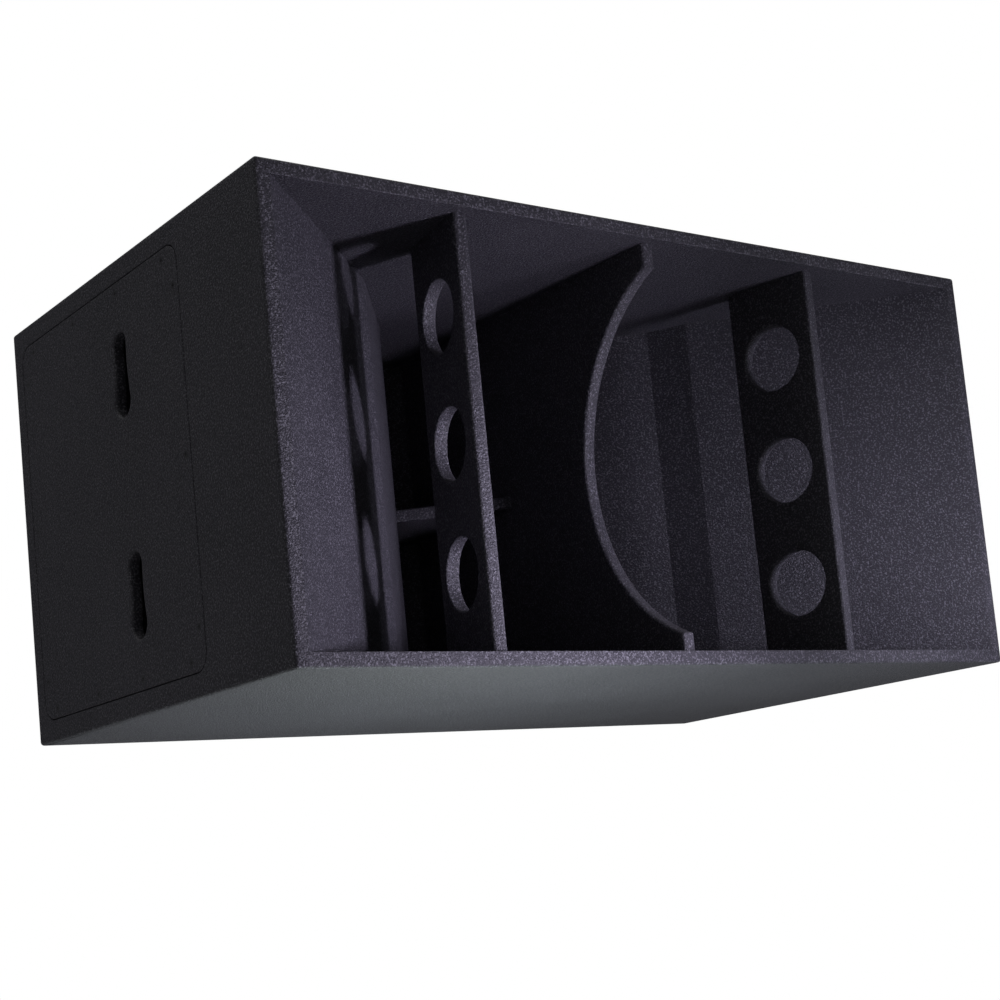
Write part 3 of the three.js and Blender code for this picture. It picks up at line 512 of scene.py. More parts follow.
def board(name, node_name, loops, thick, axes=np.eye(3), origin=(0, 0, 0)):
    """A board. loops are (outline, back radii, front radii) or (outline, rings), outer first and
    anticlockwise, then holes clockwise. Radii are one number or one for each edge, and the height runs
    along the third axis."""
    points, faces, rims, caps, start = [], [], [], ([], []), 0
    for outline, *rest in loops:
        count = len(outline)
        rows = rest[0] if len(rest) == 1 else rim_rings(thick, *(np.full(count, r) if np.isscalar(r) else r
                                                                 for r in rest))
        for inset, height, value in rows:
            flat = drawn_in(outline, np.broadcast_to(inset, count).astype(float))
            points.append(np.column_stack([flat, np.broadcast_to(height, count)]))
            rims.append(np.broadcast_to(value, count).astype(float))
        faces += (quads(len(rows), count) + start).tolist()
        caps[0].append(start + np.arange(count))
        caps[1].append(start + (len(rows) - 1) * count + np.arange(count))
        start += len(rows) * count
    points = np.concatenate(points)
    for cap, facing in zip(caps, (-1, 1)):
        numbers = np.concatenate(cap)
        tris = np.array(tessellate_polygon([[Vector((*points[i, :2], 0)) for i in end] for end in cap]))
        a, b, c = (points[numbers[tris[:, k]], :2] for k in range(3))
        area = (b[:, 0] - a[:, 0]) * (c[:, 1] - a[:, 1]) - (b[:, 1] - a[:, 1]) * (c[:, 0] - a[:, 0])
        tris[area * facing < 0] = tris[area * facing < 0][:, ::-1]
        faces += numbers[tris].tolist()
    return piece(name, points, faces, [node_name], rim=np.concatenate(rims), axes=axes, origin=origin)


X, Y, Z = np.eye(3)
low, high = (np.array(c) for c in cad_box)
THICK = 18 * MM
SOFT, EASED = 4.4 * MM, 1.4 * MM  # outer edges and inner edges

# %% [markdown]
# ## The outer panels
# Top and bottom run over the ends of the sides, and the back sits between them. The upright corners of the
# box are round all the way down, so top and bottom have round corners in plan, and the sides have the same
# radius on their front and rear edges. Where two panels are flush the paint hides the joint, so nothing is
# rounded there.

# %% Bottom and top
side_in = high[0] - THICK
floor_z, ceiling_z = low[2] + THICK, high[2] - THICK


def edge_middles(outline):
    """The middle of each edge, from point i to the next."""
    return (outline + np.roll(outline, -1, 0)) / 2


def wide_panel(name, bottom):
    """The rectangle of the box with round corners. Its outer rim is round, and of its inner rim only the
    stretch across the mouth."""
    reach = side_in - 1 * MM
    corners = [(low[0], low[1]), (-side_in, low[1]), (-reach, low[1]), (reach, low[1]), (side_in, low[1]),
               (high[0], low[1]), (high[0], high[1]), (low[0], high[1])]
    outline = rounded(corners, [SOFT, 0, 0, 0, 0, SOFT, SOFT, SOFT])
    middle = edge_middles(outline)
    mouth = np.where((abs(middle[:, 0]) < 0.9 * reach) & (middle[:, 1] < low[1] + 1e-6), EASED, 0.0)
    rims = (SOFT, mouth) if bottom else (mouth, SOFT)
    return board(name + "_painted", name, [(outline, *rims)], THICK,
                 origin=(0, 0, 0 if bottom else ceiling_z))


wide_panel("bottom_panel", True)
wide_panel("top_panel", False)

# %% Sides and the hatch opening
HATCH_FRONT, HATCH_BACK, HATCH_MARGIN, HATCH_CORNER = -147 * MM, 315 * MM, 28 * MM, 26 * MM
HATCH_THICK, SEAM = 15 * MM, 1.4 * MM
FROM_LEFT, FROM_RIGHT, FROM_BACK = (-Y, Z, -X), (Y, Z, X), (-X, Z, Y)


def hatch_outline(inset):
    """The hatch's rectangle drawn in by inset, with its round corners, seen from outside the left side,
    where the horizontal axis is -Y."""
    u0, u1 = -HATCH_BACK + inset, -HATCH_FRONT - inset
    v0, v1 = HATCH_MARGIN + inset, high[2] - HATCH_MARGIN - inset
    return rounded([(u0, v0), (u1, v0), (u1, v1), (u0, v1)], max(HATCH_CORNER - inset, 4 * MM), 9)


side_face = np.array([(low[1], floor_z), (high[1], floor_z), (high[1], ceiling_z), (low[1], ceiling_z)])
upright = np.array([0, SOFT, 0, SOFT])  # front and rear edges
board("left_side_panel_painted", "left_side_panel",
      [(side_face, 0.0, upright), (hatch_outline(0)[::-1], 0.0, 0.9 * MM)],
      THICK, FROM_LEFT, (-side_in, 0, 0))
board("right_side_panel_painted", "right_side_panel", [(side_face, 0.0, upright)], THICK, FROM_RIGHT,
      (side_in, 0, 0))

# %% Back panel
# The dish lies in a rebate, so the hole's outline runs in, steps across the ledge and runs on through.
DISH_AT = (-400 * MM, 70 * MM)
DISH_HALF = np.array([65, 42]) * MM
LEDGE, LEDGE_DEEP = 14 * MM, 5.3 * MM
du, dv = DISH_HALF + 0.3 * MM
rebate = np.array([(-du, -dv), (-du, dv), (du, dv), (du, -dv)]) + (-DISH_AT[0], DISH_AT[1])
rebate_steps = [(BAND - LEDGE, 0, 0), (-LEDGE, 0, 0), (-LEDGE, THICK - LEDGE_DEEP, 0),
                (0, THICK - LEDGE_DEEP, 0), (0, THICK, 0), (BAND, THICK, 0)]
back_face = np.array([(-side_in, floor_z), (side_in, floor_z), (side_in, ceiling_z), (-side_in, ceiling_z)])
board("back_panel_painted", "back_panel", [(back_face, 0.0, 0.0), (rebate, rebate_steps)], THICK, FROM_BACK,
      (0, high[1] - THICK, 0))

# %% [markdown]
# ## The horn's boards
# The flares stand between bottom and top, so each is an outline in plan carried straight up. Only their
# free ends are eased. The braces and the centre board have their outline in their own plane, because their
# front and rear edges and their holes are the ones that a hand touches.

# %% Flares
LEFT_MOUTH, LEFT_BEND, LEFT_END = (np.array(p) * MM for p in ((-552, -342), (-268, -76), (-139, 93)))
RIGHT_LINE, RIGHT_BEVEL_X, RIGHT_STEP, LAP = 210 * MM, 284 * MM, 61 * MM, 120 * MM
ROOT2 = math.sqrt(2)


def standing(name, plan, radii, bottom=floor_z, top=ceiling_z, rims=0.0):
    """A board that stands on the floor, from its corners in plan and the radius of each upright corner."""
    return board(name + "_painted", name, [(rounded(plan, radii), rims, rims)], top - bottom,
                 origin=(0, 0, bottom))


def unit(a, b):
    """The direction from a to b: their difference divided by its own length."""
    return (b - a) / np.linalg.norm(b - a)


def crossing(p, d, q, e):
    """Where the line through p along d meets the line through q along e."""
    return p + d * ((q - p)[0] * e[1] - (q - p)[1] * e[0]) / (d[0] * e[1] - d[1] * e[0])


front_way, rear_way = unit(LEFT_MOUTH, LEFT_BEND), unit(LEFT_BEND, LEFT_END)
front_out, rear_out = (np.array([-d[1], d[0]]) * THICK for d in (front_way, rear_way))
bend_out = crossing(LEFT_MOUTH + front_out, front_way, LEFT_END + rear_out, rear_way)
start_out = crossing(LEFT_MOUTH + front_out, front_way, LEFT_MOUTH, np.array([0.0, 1.0]))
standing("left_flare_front", [LEFT_MOUTH, LEFT_BEND, bend_out, start_out], 0)
standing("left_flare_rear", [LEFT_BEND, LEFT_END, LEFT_END + rear_out, bend_out], [0, EASED, 0, 0])

rear_line = RIGHT_LINE + (THICK + 0.3 * MM) * ROOT2
bevel_x = RIGHT_BEVEL_X - math.sqrt(RIGHT_STEP ** 2 - THICK ** 2) / ROOT2 + THICK / ROOT2
lap_x, front_behind, rear_behind = bevel_x + LAP, RIGHT_LINE + THICK * ROOT2, rear_line + THICK * ROOT2
back_in = high[1] - THICK
standing("right_flare_front", [(side_in, RIGHT_LINE - side_in), (side_in, front_behind - side_in),
                               (bevel_x, rear_line - bevel_x), (RIGHT_BEVEL_X, RIGHT_LINE - RIGHT_BEVEL_X)],
         [0, 0, 0, 0.6 * MM])
standing("right_flare_rear", [(lap_x, rear_line - lap_x),
                              (lap_x + THICK / ROOT2, rear_line - lap_x + THICK / ROOT2),
                              (rear_behind - back_in, back_in), (rear_line - back_in, back_in)], 0)

# %% Side braces with their round holes
SETBACK, BRACE_X, BRACE_DEPTH = 17 * MM, 280 * MM, 132 * MM
HOLE_R, HOLE_PITCH, HOLE_IN, HOLE_RIM = 45 * MM, 157 * MM, 69 * MM, 2.2 * MM
MIDDLE = high[2] / 2
BRACE_TURN = math.radians(10.5)
brace = np.array([(0, floor_z), (BRACE_DEPTH, floor_z), (BRACE_DEPTH, ceiling_z), (0, ceiling_z)])
holes = [(circle(HOLE_IN, MIDDLE + row * HOLE_PITCH, HOLE_R, 96), HOLE_RIM, HOLE_RIM) for row in (-1, 0, 1)]
for name, hand in (("left_brace", -1), ("right_brace", 1)):
    turn_z = hand * BRACE_TURN
    axes = np.array([(-math.sin(turn_z), math.cos(turn_z), 0), (0, 0, 1),
                     (math.cos(turn_z), math.sin(turn_z), 0)])
    brace_at = np.array([hand * BRACE_X, low[1] + SETBACK, 0]) - (axes[2] * THICK if hand < 0 else 0)
    board(name + "_painted", name, [(brace, upright, upright), *holes], THICK, axes, brace_at)

# %% Centre brace and shelf
# The bite is an arc through the two tabs' corners and its deepest point, so with half
# its height h and its depth d, its radius is (h^2 + d^2) / (2 d).
BITE_DEPTH, BITE_LOW, BITE_HIGH = 157 * MM, 43 * MM, 512 * MM
half_bite, bite_middle = (BITE_HIGH - BITE_LOW) / 2, (BITE_HIGH + BITE_LOW) / 2
bite_r = (half_bite ** 2 + BITE_DEPTH ** 2) / (2 * BITE_DEPTH)
bite_angle = math.asin(half_bite / bite_r)
front_y = low[1] + SETBACK
angle = np.linspace(bite_angle, -bite_angle, 73)
bite = np.column_stack([front_y + BITE_DEPTH - bite_r + bite_r * np.cos(angle),
                        bite_middle + bite_r * np.sin(angle)])
wall_y = rear_line  # the wall's y on the centre plane
centre_outline = np.concatenate([[(front_y, floor_z), (wall_y, floor_z), (wall_y, ceiling_z),
                                  (front_y, ceiling_z)], bite])
middle = edge_middles(centre_outline)
free = np.where((middle[:, 0] < wall_y - 1 * MM) & (middle[:, 1] > floor_z + 1 * MM)
                & (middle[:, 1] < ceiling_z - 1 * MM), SOFT, 0.0)
board("centre_brace_painted", "centre_brace", [(centre_outline, free, free)], THICK, FROM_RIGHT,
      (-THICK / 2, 0, 0))

shelf_line, shelf_right = -9 * MM, -THICK / 2
shelf_cut = (rear_line - shelf_line) / 2
shelf = np.array([(shelf_right, shelf_line - shelf_right), (shelf_right, rear_line - shelf_right),
                  (rear_line - back_in, back_in), (rear_line - back_in - shelf_cut, back_in - shelf_cut)])
shelf_rims = np.array([0, 0, 0, SOFT])
board("passage_shelf_painted", "passage_shelf", [(shelf, shelf_rims, shelf_rims)], THICK,
      origin=(0, 0, MIDDLE - THICK / 2))

# %% [markdown]
# ## The hatch
# The hatch fills its opening but for a thin seam. Two waisted slots let two hands lift it, and their rims
# are rounder than the rest because fingers hook round them. Each screw has a countersunk hole, which is a
# hole's outline with a section of its own.

# %% Hatch board
HAND_Y, HAND_RISE, HAND_LONG, HAND_TOP_R, HAND_FOOT_R = (v * MM for v in (20, 137, 106, 17, 20))
SCREW_R, HEAD_R, HEAD_DEEP, SCREW_INSET = (v * MM for v in (2.1, 4.4, 2.6, 14))


def hand_hole(z):
    """A waisted slot, clockwise: a half circle at the foot, a hollow side, a half circle at the top and the
    other side. A side is a quadratic curve (1-t)^2 p + 2t(1-t) q + t^2 r."""
    top, foot = z + HAND_LONG / 2 - HAND_TOP_R, z - HAND_LONG / 2 + HAND_FOOT_R
    t, half = np.linspace(0, 1, 14)[1:-1, None], np.linspace(0, math.pi, 25)[:, None]
    waist = HAND_TOP_R - 3 * MM
    foot_arc = np.hstack([-HAND_FOOT_R * np.cos(half), foot - HAND_FOOT_R * np.sin(half)])
    top_arc = np.hstack([HAND_TOP_R * np.cos(half), top + HAND_TOP_R * np.sin(half)])
    right = (1 - t) ** 2 * foot_arc[-1] + 2 * t * (1 - t) * np.array([waist, z]) + t ** 2 * top_arc[0]
    left = right[::-1] * (-1, 1)
    return (np.concatenate([foot_arc, right, top_arc, left]) + (-HAND_Y, 0))[::-1]


SCREW_COLUMNS, SCREW_PITCH = [-108, 20, 148, 276], 201 * MM
screw_places = [(y * MM, z) for y in SCREW_COLUMNS
                for z in (HATCH_MARGIN + SCREW_INSET, high[2] - HATCH_MARGIN - SCREW_INSET)]
screw_places += [(y, MIDDLE + step * SCREW_PITCH) for step in (-1, 0, 1)
                 for y in (HATCH_FRONT + SCREW_INSET, HATCH_BACK - SCREW_INSET)]
widen = HEAD_R + 0.3 * MM
deep = widen - SCREW_R - 0.3 * MM
sunk = [(0.8 * MM - deep, 0, 0), (-deep, 0, 0), (-deep, HATCH_THICK - HEAD_DEEP, 0),
        (0, HATCH_THICK - 0.4 * MM, 0.3), (0, HATCH_THICK, 0.5), (0.8 * MM, HATCH_THICK, 0)]
loops = [(hatch_outline(SEAM), 0.5 * MM, 0.9 * MM)]
loops += [(hand_hole(MIDDLE + s * HAND_RISE), 1.0 * MM, 4.0 * MM) for s in (1, -1)]
loops += [(circle(-y, z, widen, 24), sunk) for y, z in screw_places]
board("access_hatch_painted", "access_hatch", loops, HATCH_THICK, FROM_LEFT, (low[0] + HATCH_THICK, 0, 0))
SEAL_THICK, SEAL_OUTER, SEAL_INNER, SEAL_RIM = (v * MM for v in (2.7, 19, 26, 0.8))
board("hatch_gasket_foam", "hatch_gasket", [(hatch_outline(SEAL_OUTER), SEAL_RIM, SEAL_RIM),
                                            (hatch_outline(SEAL_INNER)[::-1], SEAL_RIM, SEAL_RIM)],
      SEAL_THICK, FROM_LEFT, (-side_in, 0, 0))

# %% [markdown]
# ## Turned and trayed pieces
# A driver is nearly all rings, so its pieces are sections spun about its axis. The section is a closed
# outline of radius and height with eased corners, and the UV map holds metres round and metres along, so a
# weave or a lathe's marks keep their size. Cups and the connector dish are trays: round-cornered rectangles
# carried down through a section, and thickened afterwards.

# %% Spinning a section
def spun(section, turns=96):
    """Points, faces and UVs of a closed (radius, height) section turned about the third axis: the point at
    angle a is (r cos a, r sin a, z). U is r a at the section's mean radius and V the length along the
    section."""
    section = np.asarray(section, float)
    a = np.linspace(0, 2 * np.pi, turns, endpoint=False)
    points = np.stack([section[:, :1] * np.cos(a), section[:, :1] * np.sin(a),
                       np.broadcast_to(section[:, 1:], (len(section), turns))], -1)
    faces = quads(len(section), turns, close_rows=True)
    lengths = np.linalg.norm(np.roll(section, -1, 0) - section, axis=1)
    along = np.concatenate([[0], np.cumsum(lengths)])
    m, t = np.divmod(np.arange(len(faces)), turns)
    u0, u1 = (k / turns * 2 * np.pi * section[:, 0].mean() for k in (t, t + 1))
    uv = np.stack([u0, along[m], u1, along[m], u1, along[m + 1], u0, along[m + 1]], -1)
    return points.reshape(-1, 3), faces, uv


def spun_piece(name, nodes, section, axes, origin, radii=0.0, turns=96, sharp=35):
    """A piece turned from a section in millimetres with its corners eased by radii, also in millimetres."""
    points, faces, uv = spun(rounded(np.asarray(section, float), radii) * MM, turns)
    return piece(name, points, faces, nodes, uv=uv, sharp=sharp, axes=axes, origin=origin)


# %% Screws with a cross recess
THREAD_STEPS, HEAD_STEPS, THREAD_PITCH = 56, 16, 1.9


def screw_parts(head, deep, shank, length, turns=32):
    """A countersunk or flat screw: its section runs up the threaded shank and over the head, and the head's
    top sinks where a point lies in the cross, nearer than 0.55 mm to one axis and under 0.6 of the head's
    radius out. The thread is a ridge whose phase turns with the angle a: it multiplies the
    shank's radius by 0.9 to 1.04, along a triangle wave of z / pitch - a / (2 pi)."""
    climb = np.linspace(-length + 2, -deep - 0.6, THREAD_STEPS)
    top = np.linspace(head, 0, HEAD_STEPS)
    section = np.concatenate([[(0, -length), (shank * 0.9, -length + 2)],
                              np.column_stack([np.full(THREAD_STEPS, shank), climb]),
                              [(shank, -deep), (head, -0.35), (head, -0.05)],
                              np.column_stack([top, 0 * top - 0.02])])
    points, faces, uv = spun(section * MM, turns)
    grid = points.reshape(len(section), turns, 3)
    a = np.linspace(0, 2 * np.pi, turns, endpoint=False)
    ridge = 0.9 + 0.14 * np.abs(((climb[:, None] / THREAD_PITCH - a / (2 * np.pi)) % 1) * 2 - 1)
    grid[2:2 + THREAD_STEPS, :, :2] *= ridge[..., None]
    x, y = abs(grid[-HEAD_STEPS:, :, 0]) / MM, abs(grid[-HEAD_STEPS:, :, 1]) / MM
    near, far = np.minimum(x, y), np.maximum(x, y)
    cross_depth = np.clip((0.55 - near) / 0.25, 0, 1) * np.clip((0.6 * head - far) / 0.3, 0, 1)
    grid[-HEAD_STEPS:, :, 2] -= 1.3 * MM * cross_depth
    return grid.reshape(-1, 3), faces, uv


points, faces, uv = screw_parts(4.4, 2.5, 2.0, 30)
for number, (y, z) in enumerate(screw_places, 1):
    name = f"hatch_screw_{number:02d}"
    tilt = number * 2.4  # each screw stopped at its own angle
    u = np.cos(tilt) * -Y + np.sin(tilt) * Z
    piece(name + "_black", points, faces, [name], uv=uv, axes=(u, np.cross(-X, u), -X), origin=(low[0], y, z))
print("screws:", len(screw_places))

# %% [markdown]
# ## The driver
# Behind the hatch sits a 15 inch driver on a slanted baffle. Its own axes are along the baffle, up, and out
# through the baffle towards the throat, and heights are measured from the baffle's face. The cone, its cap
# and the coil ride on the moving body, and everything else stays with the cabinet.

# %% Driver axes
BAFFLE_BACK = np.array([-520, 323.7]) * MM
along = unit(LEFT_END, BAFFLE_BACK)
chamberward = np.array([-along[1], along[0]])
DRIVER_ALONG, BAFFLE_THICK = 222 * MM, 18.3 * MM
centre = LEFT_END + along * DRIVER_ALONG + chamberward * BAFFLE_THICK
DRIVER = np.array([(*along, 0), (0, 0, 1), (*-chamberward, 0)])
DRIVER_AT = (*centre, MIDDLE)
measured = (np.array(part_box("driver_cone")[0]) + np.array(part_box("driver_cone")[1])) / 2
print("driver at", np.round(DRIVER_AT, 4), "and its cone's middle at", np.round(measured, 4))


def driver_piece(name, node_name, section, radii=0.0, turns=96, sharp=35):
    """A piece turned about the driver's own axis, at the driver's place."""
    return spun_piece(name, [node_name], section, DRIVER, DRIVER_AT, radii, turns, sharp)


# %% Cone, cap, coil
# The paper cone flares, so its height rises faster near the neck, and five pressed rings stiffen it.
NECK_R, CONE_R, CAP_R = 52.1, 151, 63
r = np.linspace(NECK_R, CONE_R, 90)
flare = np.interp(r, [NECK_R, 110, CONE_R], [-76.5, -39.5, -8.0]) - 1.6 * np.sin(np.pi * (r - NECK_R) / 98.9)
ribs = sum(0.9 * np.exp(-((r - at) / 1.3) ** 2) for at in (70, 86, 102, 118, 134))
face = np.column_stack([r, flare + ribs])
driver_piece("cone_paper_body", "driver_cone", np.vstack([face - (0, 2.2), face[::-1]]), turns=128)
r = np.linspace(CAP_R, 0.01, 40)
dome = np.column_stack([r, -68 + 24 * (1 - (r / CAP_R) ** 2) ** 0.85])
driver_piece("dust_cap_dome", "driver_dust_cap", np.vstack([dome[::-1] - (0, 1.3), dome]))
wire = np.arange(-129, -79, 0.5)
winding = np.column_stack([51.6 + 0.2 * np.sin(wire * 2 * np.pi + 0.7), wire])
driver_piece("coil_winding", "voice_coil",
             np.vstack([[(49.3, -78), (49.3, -130), (51.4, -130)], winding, [(51.4, -78)]]))

# %% Surround and spider
# The surround is a double roll of doped cloth and the spider a corrugated disc. Both are thin sheets whose
# height is a sine of the radius, with the sheet's thickness added below.
ROLL_IN, ROLL_OUT, SPIDER_IN, SPIDER_OUT = 151.3, 168.7, 52.2, 82
r = np.linspace(ROLL_IN, ROLL_OUT, 60)
part = (r - ROLL_IN) / (ROLL_OUT - ROLL_IN)
rolls = -7.4 + 8.4 * abs(np.sin(2 * np.pi * part)) ** 0.8 * (0.75 + 0.25 * np.sin(np.pi * part))
sheet_top = np.column_stack([r, np.minimum(rolls, 3.4)])
driver_piece("surround_rolls", "driver_surround", np.vstack([sheet_top - (0, 1.0), sheet_top[::-1]]),
             turns=128)
r = np.linspace(SPIDER_IN, SPIDER_OUT, 110)
waves = -90.2 + 1.6 * np.sin((r - SPIDER_IN) / (SPIDER_OUT - SPIDER_IN) * 10 * np.pi)
sheet_top = np.column_stack([r, waves])
driver_piece("spider_waves", "driver_spider", np.vstack([sheet_top - (0, 0.7), sheet_top[::-1]]), turns=128)

# %% Magnet and plates
TOP, FOOT = -98.3, -106.3
driver_piece("top_plate_steel", "driver_top_plate", [(53.5, FOOT), (84, FOOT), (84, TOP), (53.5, TOP)], 1.0)
driver_piece("magnet_ring", "driver_magnet", [(64, -144.6), (102.2, -144.6), (104, -142.8), (104, -108.4),
                                              (102.2, -106.6), (64, -106.6)], 0.4)
driver_piece("back_plate_steel", "driver_back_plate",
             [(12, -154.9), (84, -154.9), (92, -150.5), (92, -144.9), (48, -144.9), (48, TOP), (12, TOP)],
             [2.5, 3, 2, 0.6, 0.6, 0.8, 1])

# %% Basket
# A pressed basket is one thin sheet: a turned wall with six windows. The grid's lines fall on the windows'
# edges, the cells inside a window are left out, and Solidify gives the steel its thickness.
BASKET_TURNS, SPOKE_STEP = 180, 30  # columns round the basket, and columns from spoke to spoke
wall = rounded([(60, -95.2), (86, -95.2), (171.5, -14), (171.5, -1.6), (193.6, -1.6), (193.6, -6)],
               [0, 8, 10, 2.5, 1.5, 0], 7)[:-1]
slope = np.linspace((96, -85.7), (164, -21.1), 15)
wall = np.vstack([wall[wall[:, 0] < 93], slope, wall[wall[:, 0] > 167]])
a = np.linspace(0, 2 * np.pi, BASKET_TURNS, endpoint=False)
grid = np.stack([wall[:, :1] * np.cos(a), wall[:, :1] * np.sin(a),
                 np.broadcast_to(wall[:, 1:], (len(wall), BASKET_TURNS))], -1)
cells = quads(len(wall), BASKET_TURNS)
row, column = np.divmod(np.arange(len(cells)), BASKET_TURNS)
middle_r = (wall[:-1, 0] + wall[1:, 0])[row] / 2
in_window = ((middle_r > 108) & (middle_r < 160)
             & (abs((column + 0.5) % SPOKE_STEP - SPOKE_STEP / 2) < 10.5))
past_spoke = np.degrees(a) / 2 % SPOKE_STEP
groove = np.exp(-(past_spoke / 1.6) ** 2) + np.exp(-((SPOKE_STEP - past_spoke) / 1.6) ** 2)
grid[(wall[:, 0] > 94) & (wall[:, 0] < 166), :, 2] += 2.2 * groove  # pressed along each spoke
basket = piece("basket_pressing", grid.reshape(-1, 3) * MM, cells[~in_window], ["driver_frame"], axes=DRIVER,
               origin=DRIVER_AT, sharp=50)
solid = basket.modifiers.new("sheet", "SOLIDIFY")
solid.thickness, solid.offset = 2.4 * MM, 0
eased = basket.modifiers.new("rolled_edge", "BEVEL")
eased.width, eased.segments, eased.limit_method, eased.angle_limit = 0.6 * MM, 2, "ANGLE", math.radians(50)
print("basket cells", int((~in_window).sum()))

# %% Terminal block and bolts
# The block is a small board on the basket's wall, and each bolt is a hexagon, a washer and a shank, spun
# with six turns for the hexagon and more for the rest.
TERMINAL = math.radians(300)
ray = np.array([math.cos(TERMINAL), math.sin(TERMINAL), 0]) @ DRIVER
beside = np.cross(DRIVER[2], ray)
block_outline = rounded([(-8, -9), (8, -9), (8, 9), (-8, 9)], 1.5) * MM
seat = np.array(DRIVER_AT) + 128 * MM * ray - 50 * MM * DRIVER[2]
terminal_loops = [(block_outline, 0.8 * MM, 0.8 * MM)]
terminal_loops += [(circle(0, s * 4.2 * MM, 1.9 * MM, 20), 0.3 * MM, 0.5 * MM) for s in (-1, 1)]
slots["terminal_block"], body_of["terminal_block"] = "dish_plastic", "cabinet"
board("terminal_block_moulded", "terminal_block", terminal_loops, 18 * MM, (DRIVER[2], beside, ray), seat)


def joined(*parts):
    """Several (points, faces, uv) as one, with the face numbers moved on."""
    starts = np.cumsum([0] + [len(p[0]) for p in parts[:-1]])
    return (np.concatenate([p[0] for p in parts]), np.concatenate([p[1] + s for p, s in zip(parts, starts)]),
            np.concatenate([p[2] for p in parts]))


head = spun(rounded([(0, -13), (4.2, -13), (5.0, -12.2), (5.0, -9.6), (0, -9.6)], 0) * MM, 6)
washer = spun(rounded([(3.2, -9.5), (7.0, -9.5), (7.0, -8.3), (3.2, -8.3)], 0.3) * MM, 32)
shank_z = np.arange(-9.4, 13.2, 0.25)
shank = spun(np.vstack([[(0, -9.4)], np.column_stack([2.85 + 0.14 * np.sin(shank_z * 2 * np.pi), shank_z]),
                        [(2.2, 14), (0, 14)]]) * MM, 20)
points, faces, uv = joined(head, washer, shank)
BOLTS, BOLT_CIRCLE_R = 8, 185 * MM
for number in range(BOLTS):
    a = (number + 0.5) / BOLTS * 2 * math.pi
    bolt_at = np.array(DRIVER_AT) + BOLT_CIRCLE_R * (math.cos(a) * DRIVER[0] + math.sin(a) * DRIVER[1])
    name = f"driver_bolt_{number + 1}"
    piece(name + "_zinc", points, faces, [name], uv=uv, axes=DRIVER, origin=bolt_at)
print("bolts:", BOLTS)

# %% [markdown]
# ## Cups, dish and wires
# The hand cups keep the chamber closed behind the slots. They and the connector dish are round-cornered
# rectangles whose half sizes and corner radius change from ring to ring, so the dish's floor can even turn
# from a rectangle into the socket's circle. Solidify thickens them inwards.

# %% Trays
CORNER_STEPS = 9
RING = 4 * CORNER_STEPS  # points round a tray


def tray(name, node_name, rings, wall, axes, origin, floor=True):
    """rings are rows of half width, half height, corner radius and height, in millimetres, all drawn with
    the same number of points. The last ring is filled if the tray has a floor."""
    loops = []
    for w, h, c, z in rings:
        flat = rounded([(-w, -h), (w, -h), (w, h), (-w, h)], min(c, w, h) - 1e-3, CORNER_STEPS)
        loops.append(np.column_stack([flat, np.full(RING, z)]))
    faces = quads(len(loops), RING).tolist()
    if floor:
        faces.append([(len(loops) - 1) * RING + k for k in range(RING)])
    made = piece(name, np.concatenate(loops) * MM, faces, [node_name], axes=axes, origin=origin, sharp=45)
    thick = made.modifiers.new("wall", "SOLIDIFY")
    thick.thickness, thick.offset = wall * MM, -1
    return made


cup_rings = [(31, 62, 9, -0.1), (30.9, 61.9, 9, -8), (30.6, 61.6, 9.5, -26), (29.6, 60.6, 11, -32),
             (26.5, 57.5, 12, -35.6), (22, 53, 12, -36.9), (12, 43, 10, -37)]
for name, sign in (("hand_cup_upper", 1), ("hand_cup_lower", -1)):
    tray(name + "_moulded", name, cup_rings, 3, FROM_LEFT,
         (low[0] + HATCH_THICK + 0.3 * MM, HAND_Y, MIDDLE + sign * HAND_RISE))
dish_rings = [(65, 42, 4, -4.9), (65, 42, 4, -2.9), (64.7, 41.7, 4, -2.3), (64.0, 41.0, 4, -2.0),
              (49.6, 26.6, 6, -2.0), (48.4, 25.4, 6, -2.3), (47.9, 24.9, 6, -3.2), (46.5, 23.5, 6, -24),
              (45.4, 22.4, 7, -27.6), (43.0, 20.4, 8, -29), (17, 17, 17, -29), (12.3, 12.3, 12.3, -29)]
dish_at = (DISH_AT[0], high[1], DISH_AT[1])
tray("connector_dish_moulded", "connector_dish", dish_rings, 2.7, FROM_BACK, dish_at, floor=False)
print("trays: two hand cups and the connector dish,", RING, "points round")

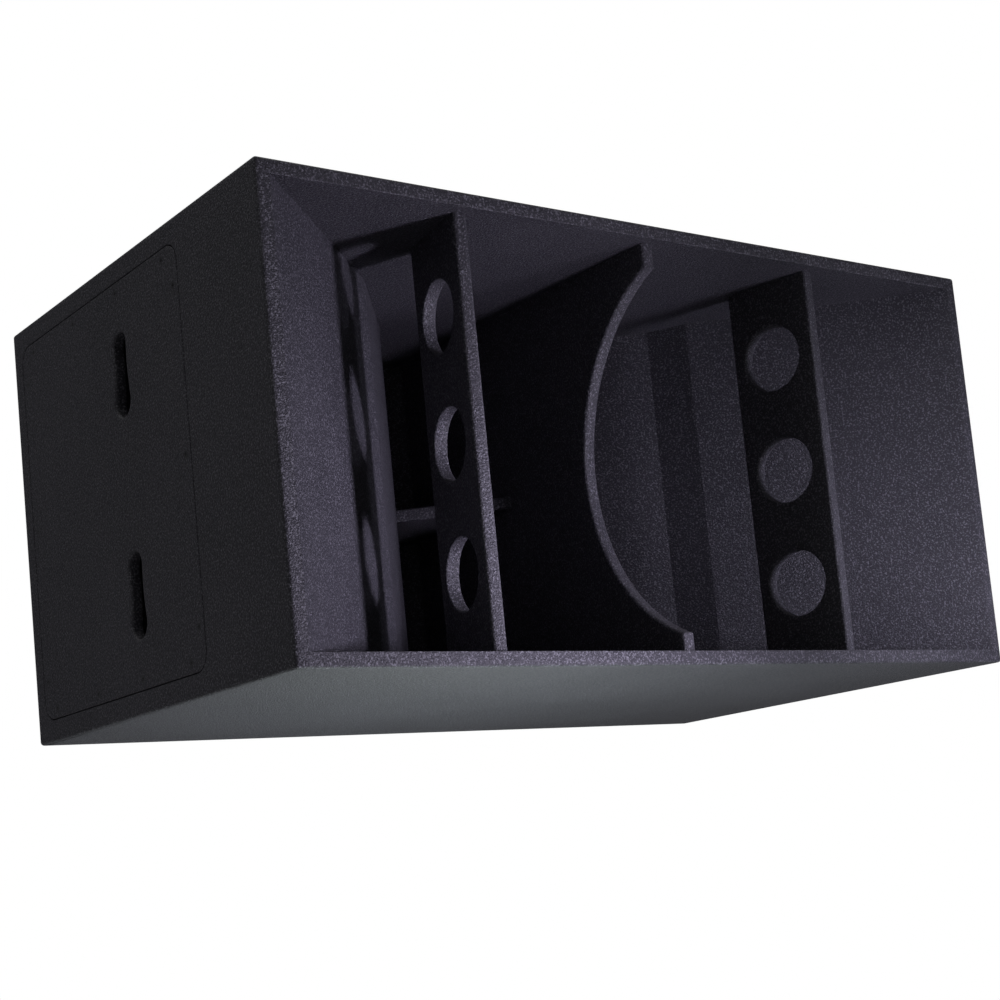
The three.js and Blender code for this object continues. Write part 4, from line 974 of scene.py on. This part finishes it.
# %% Socket, dish screws, grommet
socket = [(0, -20), (11.9, -20), (11.9, 0.3), (15, 0.3), (15, 4), (10.5, 4), (10.5, -8), (9, -8), (9, 4),
          (6, 4), (6, -8), (0, -8)]
dish_floor = (DISH_AT[0], high[1] - 29 * MM, DISH_AT[1])
spun_piece("speaker_socket_body", ["speaker_socket"], socket, FROM_BACK, dish_floor,
           [0, 0.8, 0, 0.3, 0.8, 0.4, 0, 0, 0.5, 0.5, 0, 0], 72)
points, faces, uv = screw_parts(3.4, 1.4, 1.6, 13)
for number, (sx, sz) in enumerate([(-1, -1), (1, -1), (-1, 1), (1, 1)], 1):
    name = f"dish_screw_{number}"
    u = np.cos(number * 1.9) * -X + np.sin(number * 1.9) * Z
    piece(name + "_black", points, faces, [name], uv=uv, axes=(u, np.cross(Y, u), Y),
          origin=(DISH_AT[0] + sx * 58 * MM, high[1] - 0.4 * MM, DISH_AT[1] + sz * 35 * MM))
grommet = [(5.2, -3), (12, -3), (12, 0), (8.7, 0), (8.7, 18.6), (12, 18.6), (12, 21.3), (5.2, 21.3)]
grommet_at = np.array(DRIVER_AT) + (np.array([83, -221, 0]) * MM) @ DRIVER
spun_piece("wire_grommet_rubber", ["wire_grommet"], grommet, DRIVER, grommet_at,
           [1.4, 1.4, 0.6, 0.3, 0.3, 0.6, 1.4, 1.4], 48)

# %% [markdown]
# ## Pieces that keep the model's own shape
# The driver baffle and the batten frame are plain cut boards and already right. The two wires only need a
# rounder skin, which Weld and Subdivision Surface give without touching the mesh.

# %% Finishes for the model's own pieces
WELD_GAP = 0.02 * MM
for name, obj in frame["nodes"].items():
    obj.data.materials.clear()
    obj.data.materials.append(finishes[slots[name]])
for name in ("wire_positive", "wire_negative"):
    obj = frame["nodes"][name]
    obj.modifiers.new("weld", "WELD").merge_threshold = WELD_GAP
    smooth = obj.modifiers.new("round", "SUBSURF")
    smooth.levels = smooth.render_levels = 1
for name in ("driver_baffle", "hatch_frame"):
    obj = frame["nodes"][name]
    obj.modifiers.new("weld", "WELD").merge_threshold = WELD_GAP
    edges = obj.modifiers.new("eased", "BEVEL")
    edges.width, edges.segments = 0.8 * MM, 2
    edges.limit_method, edges.angle_limit = "ANGLE", math.radians(50)
